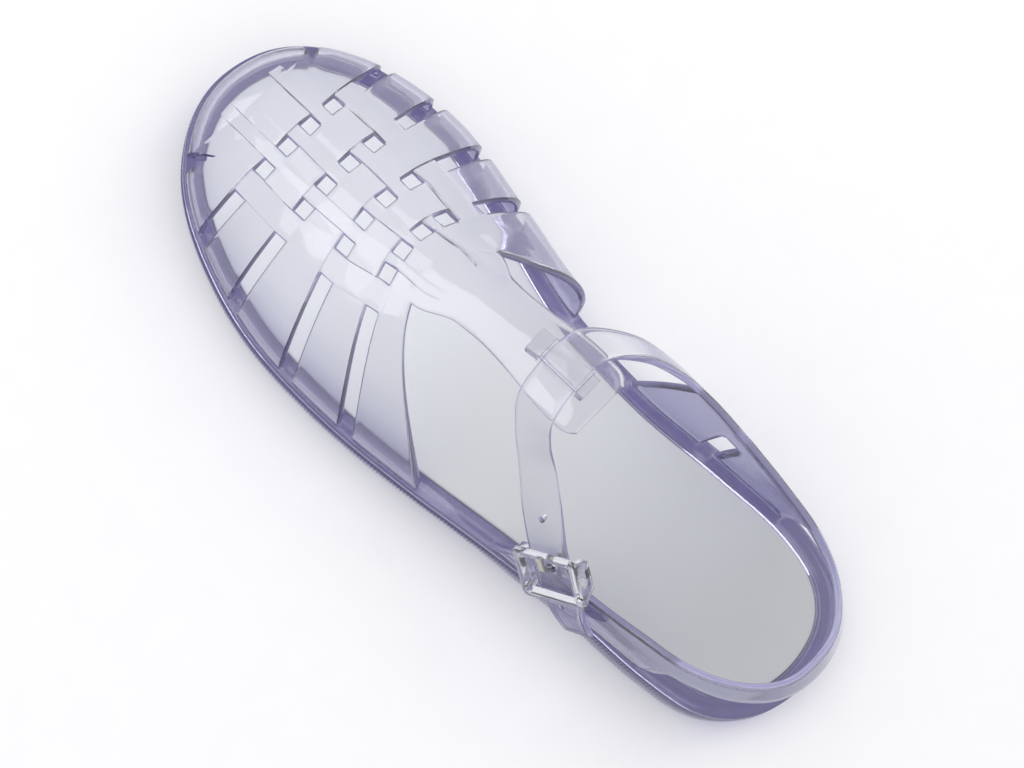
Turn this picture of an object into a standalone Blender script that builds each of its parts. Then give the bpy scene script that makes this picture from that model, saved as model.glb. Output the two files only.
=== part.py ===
"""Jelly fisherman sandal, left foot: the sole, the insole, the woven upper and the buckle as separate solids."""

import math

import bmesh
import bpy
import numpy as np

# Sizes are in millimetres here, and MM turns them into metres.
# X points to the inner side of the foot, Y to the toe, Z up.
MM = 0.001

# Last and sole
LENGTH = 240.0
BALL_WIDTH = 87.0
HEEL_HEIGHT = 19.6
BALL_HEIGHT = 12.2
TOE_SPRING = 8.0
ARCH_RISE = 4.5
INSTEP = 68.0

# Walls and clearances
GAP = 0.3
STRAP_WALL = 2.2
RIM_WIDTH = 6.3
RIM_DROP = 2.6
RIM_LIP = 0.7
INSOLE_WALL = RIM_DROP
FOOT_INSET = 2.3
FOOT_SINK = 1.2

# Weave
HOLE_WIDTH = 4.0
OUTER_STRIP = 7.5

# Strap, keeper and buckle
STRAP_WIDTH = 12.4
KEEPER_WIDTH = 7.2
KEEPER_WALL = 2.0
KEEPER_FRONT_POST = 4.6
KEEPER_REAR_POST = 2.4
KEEPER_FRONT_FOOT = 4.9
KEEPER_RAMP = 2.4
KEEPER_REAR_FOOT = 2.9
BUCKLE_LENGTH = 18.0
BUCKLE_WIDTH = 21.0
BUCKLE_BAR = 3.2
BUCKLE_SLACK = 0.7
END_BAR_THICK = 1.8
CENTRE_BAR = 3.0
CENTRE_BAR_THICK = 1.4
PRONG_WIDE = 1.8
PRONG_THICK = 1.2
PRONG_RISE = 2.8
STRAP_HOLE = 3.6
STRAP_HOLE_PITCH = 7.5
FREE_HOLE = 2.0
FREE_HOLES = (-2, 2)

# Tread
GROOVE_WIDTH = 3.0
GROOVE_DEPTH = 1.3
GROOVE_MARGIN = 9.0
GROOVE_PITCH = 9.0

# Tread: first groove's distance from the heel, number of grooves
GROOVE_ROWS = (
    (20.0, 5),
    (142.0, 6),
)

# Fullness of the vamp's section and lead of the toe cap over its first line
ROUNDNESS = 2.3
CAP_LEAD = 3.0
NOTCH_CELLS = 2
HOLES_ACROSS = 4
WALL_STEPS = 3
WALL_BULGE = 0.8

# Roundings of the sole, the insole and the rim
SOLE_EDGE = 0.6
SOLE_FOOT = 2.6
SOLE_FOOT_RISE = 1.6
INSOLE_EDGE = 0.6
RIM_SHOULDER = 0.9

# Mesh steps
RIM_STEPS = 96
SIDE_STEPS = 4
PATH_STEPS = 2
TOE_STEPS = 5

# The lengths and the ball width that the tables below were drawn at
TABLE_LENGTH = 240.0
TABLE_BALL = 87.0
TABLE_INSTEP = 68.0

# Sole outline: turn round the sole in degrees from the heel, inner edge, outer edge
OUTLINE = (
    (0, 0.0, 0.0),
    (15, 17.0, -17.0),
    (30, 28.0, -28.0),
    (45, 32.0, -32.0),
    (60, 30.6, -33.6),
    (75, 28.2, -37.0),
    (90, 30.2, -41.3),
    (105, 37.8, -44.0),
    (120, 43.4, -43.0),
    (135, 41.2, -36.4),
    (150, 33.4, -26.4),
    (165, 20.2, -12.4),
    (180, 3.0, 3.0),
)

# Sole along its length: distance from the heel, height of the underside, height of the footbed
SOLE_ROWS = (
    (-2.0, 0.0, HEEL_HEIGHT + 0.5),
    (12.0, 0.0, HEEL_HEIGHT),
    (64.0, 0.0, HEEL_HEIGHT - 0.8),
    (102.0, ARCH_RISE, 0.5 * (HEEL_HEIGHT + BALL_HEIGHT) + 0.4),
    (138.0, 0.0, BALL_HEIGHT + 0.5),
    (188.0, 0.0, BALL_HEIGHT),
    (215.0, 0.35 * TOE_SPRING, BALL_HEIGHT + 0.22 * TOE_SPRING),
    (242.0, TOE_SPRING, BALL_HEIGHT + 0.8 * TOE_SPRING),
)

# Lines across the vamp: name, crown, outer foot, inner foot (distances from the heel),
# crown height, crown x, hole pitch, bulge of the inner side, sweep
VAMP_ROWS = (
    ("cap", 226.0, 228.5, 226.0, 33.0, 4.5, 8.7, 1.0, 1.7),
    ("b1 front", 224.0, 224.5, 222.0, 33.8, 4.4, 8.7, 1.2, 1.7),
    ("b1 rear", 212.0, 211.5, 209.5, 38.0, 3.9, 8.8, 2.0, 1.7),
    ("b2 front", 208.0, 207.5, 206.0, 39.4, 3.7, 8.8, 2.2, 1.7),
    ("b2 rear", 196.4, 192.5, 192.0, 43.5, 3.0, 9.0, 2.6, 1.7),
    ("b3 front", 192.4, 188.5, 188.0, 44.9, 2.9, 9.0, 2.7, 1.7),
    ("b3 rear", 182.2, 168.5, 172.5, 48.2, 2.6, 8.7, 3.0, 1.7),
    ("b4 front", 178.2, 164.0, 168.5, 49.5, 2.5, 8.6, 3.1, 1.7),
    ("b4 rear", 168.6, 145.5, 153.0, 52.6, 2.6, 7.5, 3.6, 1.8),
    ("b5 front", 164.8, 141.0, 149.0, 53.7, 2.8, 7.3, 3.8, 1.8),
    ("b5 rear", 157.0, 117.0, 120.0, 56.0, 3.4, 7.6, 6.0, 2.3),
)
OUTER_BULGE = 0.8
GAP_AFTER = ("b1 rear", "b2 rear", "b3 rear", "b4 rear")
NOTCH_AFTER = ("cap",)

# Middle strap: distance from the heel, centre x, half width, height
T_ROWS = (
    (157.0, 3.6, 10.4, 56.6),
    (154.0, 3.7, 10.3, 57.4),
    (150.0, 4.0, 10.0, 58.5),
    (143.0, 4.4, 9.6, 60.6),
    (134.0, 4.5, 9.3, 63.2),
    (126.0, 4.5, 9.8, 65.2),
    (118.0, 4.5, 10.8, 66.6),
    (110.0, 4.5, 11.5, 67.5),
    (103.0, 4.6, 11.7, 68.0),
    (100.0, 4.6, 11.0, 68.1),
    (98.0, 4.6, 9.2, 68.1),
)
T_BLEND = 14.0
T_DROP = 1.6

# Heel and ankle strap: lower edge x, y, z, upper edge x, y, z, foot of the side wall under it
STRAP_ROWS = (
    (-33.0, 85.5, 26.0, -30.6, 86.5, 31.0, 93.0),
    (-32.6, 73.0, 27.0, -29.9, 74.0, 34.5, 80.0),
    (-31.8, 60.0, 30.0, -29.3, 60.5, 40.0, 65.0),
    (-30.6, 46.0, 35.5, -28.2, 46.0, 47.5, 50.0),
    (-28.0, 31.0, 38.5, -25.8, 31.5, 50.0, 38.0),
    (-22.3, 16.5, 40.0, -20.0, 18.8, 51.5, 30.0),
    (-12.5, 6.4, 40.5, -11.0, 10.0, 52.0, 30.0),
    (0.0, 3.2, 40.5, 0.0, 7.6, 52.2, 30.0),
    (12.5, 6.4, 40.5, 11.0, 10.0, 52.2, 30.0),
    (22.3, 16.5, 41.0, 20.0, 18.8, 52.5, 30.0),
    (27.6, 31.0, 42.0, 25.4, 31.5, 53.4, 38.0),
    (29.8, 46.0, 43.0, 27.6, 46.0, 54.6, 50.0),
    (31.0, 60.5, 44.4, 28.8, 60.0, 56.0, 65.0),
    (31.2, 65.5, 45.0, 29.0, 65.0, 56.6, 69.5),
    (31.7, 75.0, 46.6, 29.2, 73.5, 58.0, 82.0),
    (31.5, 83.0, 48.8, 28.7, 80.5, 60.0, 97.0),
    (30.5, 92.0, 52.0, 27.2, 88.0, 63.4, 97.0),
    (26.2, 105.0, 59.5, 22.6, 98.0, 67.5, 97.0),
    (15.5, 117.0, 67.8, 14.0, 106.0, 70.4, 97.0),
    (4.5, 118.8, 70.6, 4.5, 106.8, 70.9, 97.0),
    (-8.2, 117.2, 69.0, -7.3, 105.0, 69.8, 97.0),
    (-15.2, 111.0, 64.0, -12.3, 100.5, 64.6, 97.0),
    (-20.6, 103.0, 57.4, -15.4, 93.8, 58.6, 97.0),
    (-26.4, 94.6, 50.5, -21.2, 85.4, 55.5, 97.0),
    (-31.3, 85.7, 43.9, -27.4, 76.8, 51.6, 97.0),
    (-34.0, 79.0, 37.6, -30.0, 70.2, 45.4, 97.0),
    (-36.6, 72.4, 31.4, -32.7, 63.5, 39.1, 97.0),
    (-37.6, 65.5, 26.0, -34.9, 58.5, 35.8, 97.0),
    (-37.8, 60.0, 23.4, -35.8, 54.0, 32.8, 97.0),
)
LATERAL_WALL = (0, 4)
MEDIAL_WALL = (10, 15)
MEDIAL_SLIT = 12
HEEL_ROW = 7
KEEPER_ROW = 19
BUCKLE_ROW = 25


def clamp_spline(keys, values, at):
    """A curve through the rows that never overshoots them, so that the flats stay flat."""
    keys = np.asarray(keys, float)
    values = np.asarray(values, float)
    slope = np.diff(values) / np.diff(keys)
    tangent = np.zeros(len(keys))
    tangent[0] = slope[0]
    tangent[-1] = slope[-1]
    for i in range(1, len(keys) - 1):
        if slope[i - 1] * slope[i] > 0:
            tangent[i] = 2 * slope[i - 1] * slope[i] / (slope[i - 1] + slope[i])
    at = np.clip(np.asarray(at, float), keys[0], keys[-1])
    i = np.clip(np.searchsorted(keys, at, side="right") - 1, 0, len(keys) - 2)
    span = keys[i + 1] - keys[i]
    t = (at - keys[i]) / span
    return (
        values[i] * (1 + 2 * t) * (1 - t) ** 2
        + tangent[i] * span * t * (1 - t) ** 2
        + values[i + 1] * t * t * (3 - 2 * t)
        + tangent[i + 1] * span * t * t * (t - 1)
    )


def sole_height(y, column):
    """Column 1 is the underside and column 2 the footbed."""
    keys = [row[0] * LENGTH / TABLE_LENGTH for row in SOLE_ROWS]
    return clamp_spline(keys, [row[column] for row in SOLE_ROWS], y)


def ring_x(turn):
    ring = [row[1] for row in OUTLINE] + [row[2] for row in OUTLINE[-2:0:-1]]
    ring = np.array(ring) * BALL_WIDTH / TABLE_BALL
    count = len(ring)
    at = np.asarray(turn, float) % 360.0 * count / 360.0
    i = np.floor(at).astype(int) % count
    t = at - np.floor(at)
    p0 = ring[(i - 1) % count]
    p1 = ring[i]
    p2 = ring[(i + 1) % count]
    p3 = ring[(i + 2) % count]
    return 0.5 * (
        2 * p1
        + (p2 - p0) * t
        + (2 * p0 - 5 * p1 + 4 * p2 - p3) * t * t
        + (3 * p1 - p0 - 3 * p2 + p3) * t**3
    )


def outline(turn, inset=0.0):
    """Points of the sole outline, moved in by inset. The turn runs from the heel up the inner side."""
    turn = np.asarray(turn, float)

    def raw(angle):
        return ring_x(angle), LENGTH * (1 - np.cos(np.radians(angle))) / 2

    x, y = raw(turn)
    xa, ya = raw(turn - 0.5)
    xb, yb = raw(turn + 0.5)
    length = np.hypot(xb - xa, yb - ya)
    return x - (yb - ya) / length * inset, y + (xb - xa) / length * inset


def edge_turn(y, side, inset):
    """The turn at which the inset outline passes a distance from the heel, on one side."""
    turns = np.linspace(2.0, 178.0, 353)
    if side < 0:
        turns = 360.0 - turns
    return np.interp(y, outline(turns, inset)[1], turns)


def foot_point(y, side):
    x, y = outline(edge_turn(y, side, FOOT_INSET), FOOT_INSET)
    return np.array([x, y, sole_height(y, 2) - FOOT_SINK])


def crown_height(y, z):
    """A height from the tables, scaled above the footbed with the instep."""
    bed = float(sole_height(y, 2))
    return bed + (z - bed) * INSTEP / TABLE_INSTEP


def weave_knots(pitch):
    """Places across the weave, from the crown: the ends of the side gaps and the edges of the holes."""
    half = HOLE_WIDTH / 2
    reach = (HOLES_ACROSS - 1) / 2 * pitch + half + OUTER_STRIP
    knots = [-reach]
    for k in np.arange(HOLES_ACROSS) - (HOLES_ACROSS - 1) / 2:
        knots += [k * pitch - half, k * pitch + half]
    return np.array(knots + [reach])


def section_point(x, x_crown, y_crown, z_crown, foot, bulge, sweep):
    """A point of one line across the vamp, from its x, between the crown and a foot."""
    c = min(abs(x - x_crown) / abs(foot[0] - x_crown), 1.0)
    up = (1 - c**ROUNDNESS) ** (1 / ROUNDNESS)
    y = y_crown + (foot[1] - y_crown) * c**sweep
    out = bulge * math.sin(math.pi * up) * c**2
    return [x + math.copysign(out, foot[0]), y, foot[2] + (z_crown - foot[2]) * up]


def vamp_line(values, steps):
    """Points of one line across the vamp, from the outer foot to the inner foot."""
    y_crown, y_outer, y_inner, z_crown, x_crown, pitch, bulge, sweep = values
    scale = LENGTH / TABLE_LENGTH
    y_crown = y_crown * scale
    z_crown = crown_height(y_crown, z_crown)
    outer = foot_point(y_outer * scale, -1)
    inner = foot_point(y_inner * scale, 1)
    middle = x_crown + weave_knots(pitch * BALL_WIDTH / TABLE_BALL)

    def side(foot, x_start, swell):
        c = abs(x_start - x_crown) / abs(foot[0] - x_crown)
        start = math.asin(c ** (ROUNDNESS / 2))
        points = []
        for i in range(1, steps + 1):
            angle = start + (math.pi / 2 - start) * i / steps
            x = x_crown + (foot[0] - x_crown) * math.sin(angle) ** (2 / ROUNDNESS)
            points.append(section_point(x, x_crown, y_crown, z_crown, foot, swell, sweep))
        return points

    line = side(outer, middle[0], OUTER_BULGE)[::-1]
    for x in middle:
        foot, swell = (outer, OUTER_BULGE) if x < x_crown else (inner, bulge)
        line.append(section_point(x, x_crown, y_crown, z_crown, foot, swell, sweep))
    line += side(inner, middle[-1], bulge)
    return np.array(line)


def toe_lines(first, steps):
    """Lines of the toe cap, from the toe outline back to the first line of the vamp."""
    reach = np.concatenate([[0], np.cumsum(np.linalg.norm(np.diff(first[:, :2], axis=0), axis=1))])
    share = reach / reach[-1]
    start = edge_turn(first[0][1] + CAP_LEAD, -1, FOOT_INSET)
    end = edge_turn(first[-1][1] + CAP_LEAD, 1, FOOT_INSET)
    x, y = outline(start + (end - start) * share, FOOT_INSET)
    toe = np.stack([x, y, sole_height(y, 2) - FOOT_SINK], axis=1)
    lines = []
    for i in range(steps):
        angle = math.pi / 2 * (1 - i / steps)
        out = math.sin(angle) ** (2 / ROUNDNESS)
        up = math.cos(angle) ** (2 / ROUNDNESS)
        line = first + (toe - first) * out
        line[:, 2] = toe[:, 2] + (first[:, 2] - toe[:, 2]) * up
        lines.append(line)
    return lines


def middle_line(y, throat, edge):
    """A line across the middle strap, which grows out of the last line of the vamp."""
    scale = LENGTH / TABLE_LENGTH
    keys = [-row[0] for row in T_ROWS]
    x_mid, half, z = [clamp_spline(keys, [row[k] for row in T_ROWS], -y) for k in (1, 2, 3)]
    share = (throat[:, 0] - x_mid) / edge
    share = np.clip(share, -1.3, 1.3)
    line = np.zeros_like(throat)
    line[:, 0] = x_mid + half * share
    line[:, 1] = y * scale
    line[:, 2] = crown_height(y * scale, z) - T_DROP * share**2
    return line


def middle_lines(throat, edge, stations):
    root = middle_line(T_ROWS[0][0], throat, edge)
    lines = []
    for y in stations:
        t = min((T_ROWS[0][0] - y) / T_BLEND, 1.0)
        fade = (1 - t) ** 2 * (1 + 2 * t)
        lines.append(middle_line(y, throat, edge) + (throat - root) * fade)
    return lines


def vamp_grid(side_steps, toe_steps):
    """Every line of the vamp and the middle strap, and the cells that are closed."""
    lines = [vamp_line(row[1:], side_steps) for row in VAMP_ROWS]
    grid = toe_lines(lines[0], toe_steps) + lines
    cells = len(lines[0]) - 1
    first = side_steps + 1
    last = side_steps + 2 * HOLES_ACROSS
    holes = range(first, last, 2)
    sides = [j for j in range(cells) if j < side_steps or j >= cells - side_steps]
    notch = [j for j in range(cells) if j < NOTCH_CELLS or j >= cells - NOTCH_CELLS]
    closed = [[True] * cells for _ in range(toe_steps)]
    for row in VAMP_ROWS[:-1]:
        opened = []
        if row[0] in GAP_AFTER:
            opened = [*holes, *sides]
        if row[0] in NOTCH_AFTER:
            opened = notch
        closed.append([j not in opened for j in range(cells)])
    throat = lines[-1]
    edge = (throat[last][0] - throat[first][0]) / 2
    grid += middle_lines(throat, edge, [row[0] for row in T_ROWS[1:]])
    for _ in T_ROWS[1:]:
        closed.append([first <= j < last for j in range(cells)])
    return np.array(grid), closed


def normals_of(grid):
    """Unit normals from the differences along and across the grid."""
    along = np.gradient(grid, axis=0)
    across = np.gradient(grid, axis=1)
    normal = np.cross(across, along)
    return normal / np.maximum(np.linalg.norm(normal, axis=2, keepdims=True), 1e-9)


def shell(name, grid, closed, wall, flip=False):
    """A closed sheet of the given wall round a grid of points, with the open cells left out."""
    normal = normals_of(grid) * (-1 if flip else 1)
    mesh = bmesh.new()
    rows, columns = grid.shape[:2]
    corner = {}

    def vertex(i, j, top):
        if (i, j, top) not in corner:
            point = grid[i, j] + normal[i, j] * (wall / 2 if top else -wall / 2)
            corner[i, j, top] = mesh.verts.new(point * MM)
        return corner[i, j, top]

    def is_closed(i, j):
        return 0 <= i < rows - 1 and 0 <= j < columns - 1 and closed[i][j]

    for i in range(rows - 1):
        for j in range(columns - 1):
            if not closed[i][j]:
                continue
            ring = [(i, j), (i, j + 1), (i + 1, j + 1), (i + 1, j)]
            mesh.faces.new([vertex(a, b, True) for a, b in ring])
            mesh.faces.new([vertex(a, b, False) for a, b in reversed(ring)])
            beyond = [(i - 1, j), (i, j + 1), (i + 1, j), (i, j - 1)]
            for k in range(4):
                if is_closed(*beyond[k]):
                    continue
                a = ring[k]
                b = ring[(k + 1) % 4]
                mesh.faces.new([vertex(*b, True), vertex(*a, True), vertex(*a, False), vertex(*b, False)])
    bmesh.ops.recalc_face_normals(mesh, faces=mesh.faces)
    return make(name, mesh)


def make(name, mesh):
    data = bpy.data.meshes.new(name)
    mesh.to_mesh(data)
    mesh.free()
    thing = bpy.data.objects.new(name, data)
    bpy.context.scene.collection.objects.link(thing)
    return thing


def solid(name, points, faces):
    mesh = bmesh.new()
    corners = [mesh.verts.new(np.asarray(p) * MM) for p in points]
    for face in faces:
        mesh.faces.new([corners[i] for i in face])
    bmesh.ops.recalc_face_normals(mesh, faces=mesh.faces)
    return make(name, mesh)


def boolean(target, tool, operation):
    """Applies one Boolean and removes the tool."""
    bpy.context.view_layer.update()
    modifier = target.modifiers.new(operation.lower(), "BOOLEAN")
    modifier.object = tool
    modifier.operation = operation
    modifier.solver = "EXACT"
    graph = bpy.context.evaluated_depsgraph_get()
    data = bpy.data.meshes.new_from_object(target.evaluated_get(graph))
    target.modifiers.clear()
    old = target.data
    target.data = data
    bpy.data.meshes.remove(old)
    bpy.data.objects.remove(tool)


def loop_body(name, profile, steps, capped):
    """A body round the sole outline. The profile holds (inset, height function) rows from the inside out."""
    turns = (np.arange(steps) + 0.5) * 360.0 / steps
    points = []
    for inset, height in profile:
        x, y = outline(turns, inset)
        points += list(zip(x, y, height(y)))
    rings = len(profile)
    faces = []
    for r in range(rings if not capped else rings - 1):
        a = r * steps
        b = (r + 1) % rings * steps
        for k in range(steps):
            n = (k + 1) % steps
            faces.append([a + k, a + n, b + n, b + k])
    if capped:
        for base in (0, (rings - 1) * steps):
            for k in range(steps // 2):
                n = k + 1
                if n == steps // 2:
                    break
                faces.append([base + k, base + n, base + steps - 1 - n, base + steps - 1 - k])
    return solid(name, points, faces)


def box_along(name, centre, size):
    """A box with its sides along the axes."""
    points = []
    for dx in (-0.5, 0.5):
        for dy in (-0.5, 0.5):
            for dz in (-0.5, 0.5):
                points.append(np.asarray(centre) + np.array([dx, dy, dz]) * size)
    faces = [[0, 1, 3, 2], [4, 6, 7, 5], [0, 4, 5, 1], [2, 3, 7, 6], [0, 2, 6, 4], [1, 5, 7, 3]]
    return solid(name, points, faces)


def make_outsole():
    def top(y):
        return sole_height(y, 2) - RIM_DROP - GAP

    def lift(amount):
        return lambda y: sole_height(y, 1) + amount

    profile = [
        (RIM_WIDTH / 2, top),
        (SOLE_EDGE, top),
        (0.0, lambda y: top(y) - SOLE_EDGE),
        (0.0, lambda y: 0.5 * (top(y) + sole_height(y, 1))),
        (SOLE_FOOT / 3, lift(SOLE_FOOT_RISE)),
        (SOLE_FOOT, lift(0.0)),
    ]
    sole = loop_body("outsole", profile, RIM_STEPS, True)
    for start, count in GROOVE_ROWS:
        for i in range(count):
            y = (start + i * GROOVE_PITCH) * LENGTH / TABLE_LENGTH
            left = float(outline(edge_turn(y, -1, GROOVE_MARGIN), GROOVE_MARGIN)[0])
            right = float(outline(edge_turn(y, 1, GROOVE_MARGIN), GROOVE_MARGIN)[0])
            size = np.array([right - left, GROOVE_WIDTH, 2 * GROOVE_DEPTH])
            boolean(sole, box_along("groove", [(left + right) / 2, y, 0.0], size), "DIFFERENCE")
    return sole


def make_insole():
    inset = RIM_WIDTH + GAP
    profile = [
        (inset + INSOLE_EDGE, lambda y: sole_height(y, 2)),
        (inset, lambda y: sole_height(y, 2) - INSOLE_EDGE),
        (inset, lambda y: sole_height(y, 2) - INSOLE_WALL),
    ]
    return loop_body("insole", profile, RIM_STEPS, True)


def make_rim():
    """The smooth lip round the footbed that every strap grows out of."""

    def at(amount):
        return lambda y: sole_height(y, 2) + amount

    profile = [
        (0.0, at(-RIM_DROP)),
        (0.0, at(-RIM_SHOULDER / 2)),
        (RIM_SHOULDER, at(RIM_LIP)),
        (RIM_WIDTH - RIM_SHOULDER, at(RIM_LIP)),
        (RIM_WIDTH, at(0.0)),
        (RIM_WIDTH, at(-RIM_DROP)),
    ]
    return loop_body("upper", profile, RIM_STEPS, False)


def catmull(points, steps):
    """Points along a smooth curve through the rows."""
    points = np.asarray(points, float)
    last = len(points) - 1
    out = []
    for i in range(last):
        p0 = points[max(i - 1, 0)]
        p1 = points[i]
        p2 = points[i + 1]
        p3 = points[min(i + 2, last)]
        for k in range(steps):
            t = k / steps
            out.append(
                0.5
                * (
                    2 * p1
                    + (p2 - p0) * t
                    + (2 * p0 - 5 * p1 + 4 * p2 - p3) * t * t
                    + (3 * p1 - p0 - 3 * p2 + p3) * t**3
                )
            )
    out.append(points[-1])
    return np.array(out)


def strap_path(steps):
    """Lower edge, upper edge and wall foot of the strap at each step."""
    rows = []
    for row in STRAP_ROWS:
        y = row[1]
        low = [row[0] * BALL_WIDTH / TABLE_BALL, row[1], crown_height(y, row[2])]
        high = [row[3] * BALL_WIDTH / TABLE_BALL, row[4], crown_height(y, row[5])]
        rows.append(low + high + [row[6]])
    rows = np.array(rows)
    for column in (1, 4, 6):
        rows[:, column] *= LENGTH / TABLE_LENGTH
    return catmull(rows, steps)


def strap_grid(steps):
    """The strap and the side walls under it, in rows from the footbed up."""
    path = strap_path(steps)
    columns = len(path)
    lines = []
    for i in range(WALL_STEPS):
        up = i / WALL_STEPS
        line = []
        for k, row in enumerate(path):
            side = 1 if k > HEEL_ROW * steps else -1
            foot = foot_point(row[6], side)
            low = row[:3]
            point = foot + (low - foot) * up
            point[0] += side * WALL_BULGE * math.sin(math.pi * up)
            if not any(first * steps <= k <= last * steps for first, last in (LATERAL_WALL, MEDIAL_WALL)):
                point = low + (low - row[3:6]) * (1 - up)
            line.append(point)
        lines.append(line)
    lines.append([row[:3] for row in path])
    lines.append([(row[:3] + row[3:6]) / 2 for row in path])
    lines.append([row[3:6] for row in path])
    grid = np.array(lines)
    closed = [[False] * (columns - 1) for _ in range(len(lines) - 1)]
    for j in range(columns - 1):
        closed[WALL_STEPS][j] = closed[WALL_STEPS + 1][j] = True
        for first, last in (LATERAL_WALL, MEDIAL_WALL):
            if first * steps <= j < last * steps:
                for i in range(WALL_STEPS):
                    closed[i][j] = True
        if MEDIAL_SLIT * steps <= j < (MEDIAL_SLIT + 1) * steps:
            for i in range(WALL_STEPS - 1):
                closed[i][j] = False
    return grid, closed


def frame_at(row):
    """Centre, direction along the strap, direction across it and outward normal at one table row."""
    path = strap_path(1)
    here = (path[row][:3] + path[row][3:6]) / 2
    ahead = (path[row + 1][:3] + path[row + 1][3:6]) / 2
    behind = (path[row - 1][:3] + path[row - 1][3:6]) / 2
    along = ahead - behind
    along /= np.linalg.norm(along)
    across = path[row][3:6] - path[row][:3]
    across -= along * np.dot(across, along)
    across /= np.linalg.norm(across)
    out = np.cross(along, across)
    return here, along, across, out


def block(name, origin, axes, low, high):
    """A box given in a turned frame, from its low corner to its high corner."""
    points = []
    for u in (low[0], high[0]):
        for v in (low[1], high[1]):
            for w in (low[2], high[2]):
                points.append(origin + axes[0] * u + axes[1] * v + axes[2] * w)
    faces = [[0, 1, 3, 2], [4, 6, 7, 5], [0, 4, 5, 1], [2, 3, 7, 6], [0, 2, 6, 4], [1, 5, 7, 3]]
    return solid(name, points, faces)


def prism(name, origin, axes, profile, low, high):
    """A flat profile of (u, w) points in a turned frame, with its thickness along the second axis."""
    count = len(profile)
    points = []
    for v in (low, high):
        points += [origin + axes[0] * u + axes[1] * v + axes[2] * w for u, w in profile]
    faces = [list(range(count)), list(range(2 * count - 1, count - 1, -1))]
    for k in range(count):
        n = (k + 1) % count
        faces.append([k, n, n + count, k + count])
    return solid(name, points, faces)


def make_keeper():
    """The loop on the middle strap that the ankle strap runs through."""
    origin, along, across, out = frame_at(KEEPER_ROW)
    under = STRAP_WALL / 2 + GAP
    top = under + KEEPER_WALL
    inside = STRAP_WIDTH / 2 + 2 * GAP
    front = inside + KEEPER_FRONT_POST
    rear = inside + KEEPER_REAR_POST
    profile = [
        (-front, -KEEPER_FRONT_FOOT),
        (-inside, -KEEPER_FRONT_FOOT),
        (-inside, under),
        (inside, under),
        (inside, -KEEPER_REAR_FOOT),
        (rear, -KEEPER_REAR_FOOT),
        (rear, top - 0.6),
        (rear - 0.6, top),
        (-inside, top),
        (-front, top - KEEPER_RAMP),
    ]
    half = KEEPER_WIDTH / 2
    return prism("keeper", origin, (across, along, out), profile, -half, half)


def cylinder_along(name, origin, axis, radius, half, sides=12):
    """A round cutter."""
    side = np.cross(axis, [0.0, 0.0, 1.0] if abs(axis[2]) < 0.9 else [1.0, 0.0, 0.0])
    side /= np.linalg.norm(side)
    other = np.cross(axis, side)
    points = []
    for end in (-half, half):
        for k in range(sides):
            turn = 2 * math.pi * k / sides
            spoke = side * math.cos(turn) + other * math.sin(turn)
            points.append(origin + axis * end + spoke * radius)
    faces = [list(range(sides)), list(range(2 * sides - 1, sides - 1, -1))]
    for k in range(sides):
        n = (k + 1) % sides
        faces.append([k, n, n + sides, k + sides])
    return solid(name, points, faces)


def pierce_strap(upper):
    """The hole that the prong stands in, and those before and after it on the strap."""
    origin, along, across, out = frame_at(BUCKLE_ROW)
    boolean(upper, cylinder_along("hole", origin - along * PRONG_RISE, out, STRAP_HOLE / 2, 2.4), "DIFFERENCE")
    path = strap_path(12)
    centre = (path[:, :3] + path[:, 3:6]) / 2
    reach = np.concatenate([[0], np.cumsum(np.linalg.norm(np.diff(centre, axis=0), axis=1))])
    start = reach[BUCKLE_ROW * 12] - PRONG_RISE
    for k in FREE_HOLES:
        i = int(np.argmin(abs(reach - start - k * STRAP_HOLE_PITCH)))
        ahead = centre[i + 1] - centre[i - 1]
        across = path[i][3:6] - path[i][:3]
        out = np.cross(ahead, across)
        out /= np.linalg.norm(out)
        boolean(upper, cylinder_along("hole", centre[i], out, FREE_HOLE / 2, 2.4), "DIFFERENCE")


def make_upper():
    rim = make_rim()
    grid, closed = vamp_grid(SIDE_STEPS, TOE_STEPS)
    boolean(rim, shell("vamp", grid, closed, STRAP_WALL, flip=True), "UNION")
    grid, closed = strap_grid(PATH_STEPS)
    boolean(rim, shell("strap", grid, closed, STRAP_WALL), "UNION")
    boolean(rim, make_keeper(), "UNION")
    pierce_strap(rim)
    return rim


def make_buckle_frame():
    """Two end bars over the strap, a centre bar under it, and two sides that join them."""
    origin, along, across, out = frame_at(BUCKLE_ROW)
    axes = (along, across, out)
    clear = STRAP_WALL / 2 + BUCKLE_SLACK
    top = clear + END_BAR_THICK
    low = -clear - CENTRE_BAR_THICK
    inside = STRAP_WIDTH / 2 + BUCKLE_SLACK
    half = BUCKLE_WIDTH / 2
    end = BUCKLE_LENGTH / 2
    profile = [
        (-end, 0.4 * clear),
        (-0.6 * end, low),
        (0.6 * end, low),
        (end, 0.4 * clear),
        (end, top - 0.7),
        (end - 0.7, top),
        (0.7 - end, top),
        (-end, top - 0.7),
    ]
    frame = prism("buckle_frame", origin, axes, profile, inside, half)
    other = prism("side", origin, axes, profile, -half, -inside)
    reach = inside + 1.0
    for u in (-end + BUCKLE_BAR / 2, end - BUCKLE_BAR / 2):
        bar = BUCKLE_BAR / 2
        piece = block("bar", origin, axes, (u - bar + 0.1, -reach, clear), (u + bar, reach, top - 0.1))
        boolean(frame, piece, "UNION")
    bar = CENTRE_BAR / 2
    boolean(frame, block("bar", origin, axes, (-bar, -reach, low + 0.1), (bar, reach, -clear)), "UNION")
    boolean(frame, other, "UNION")
    return frame


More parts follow.
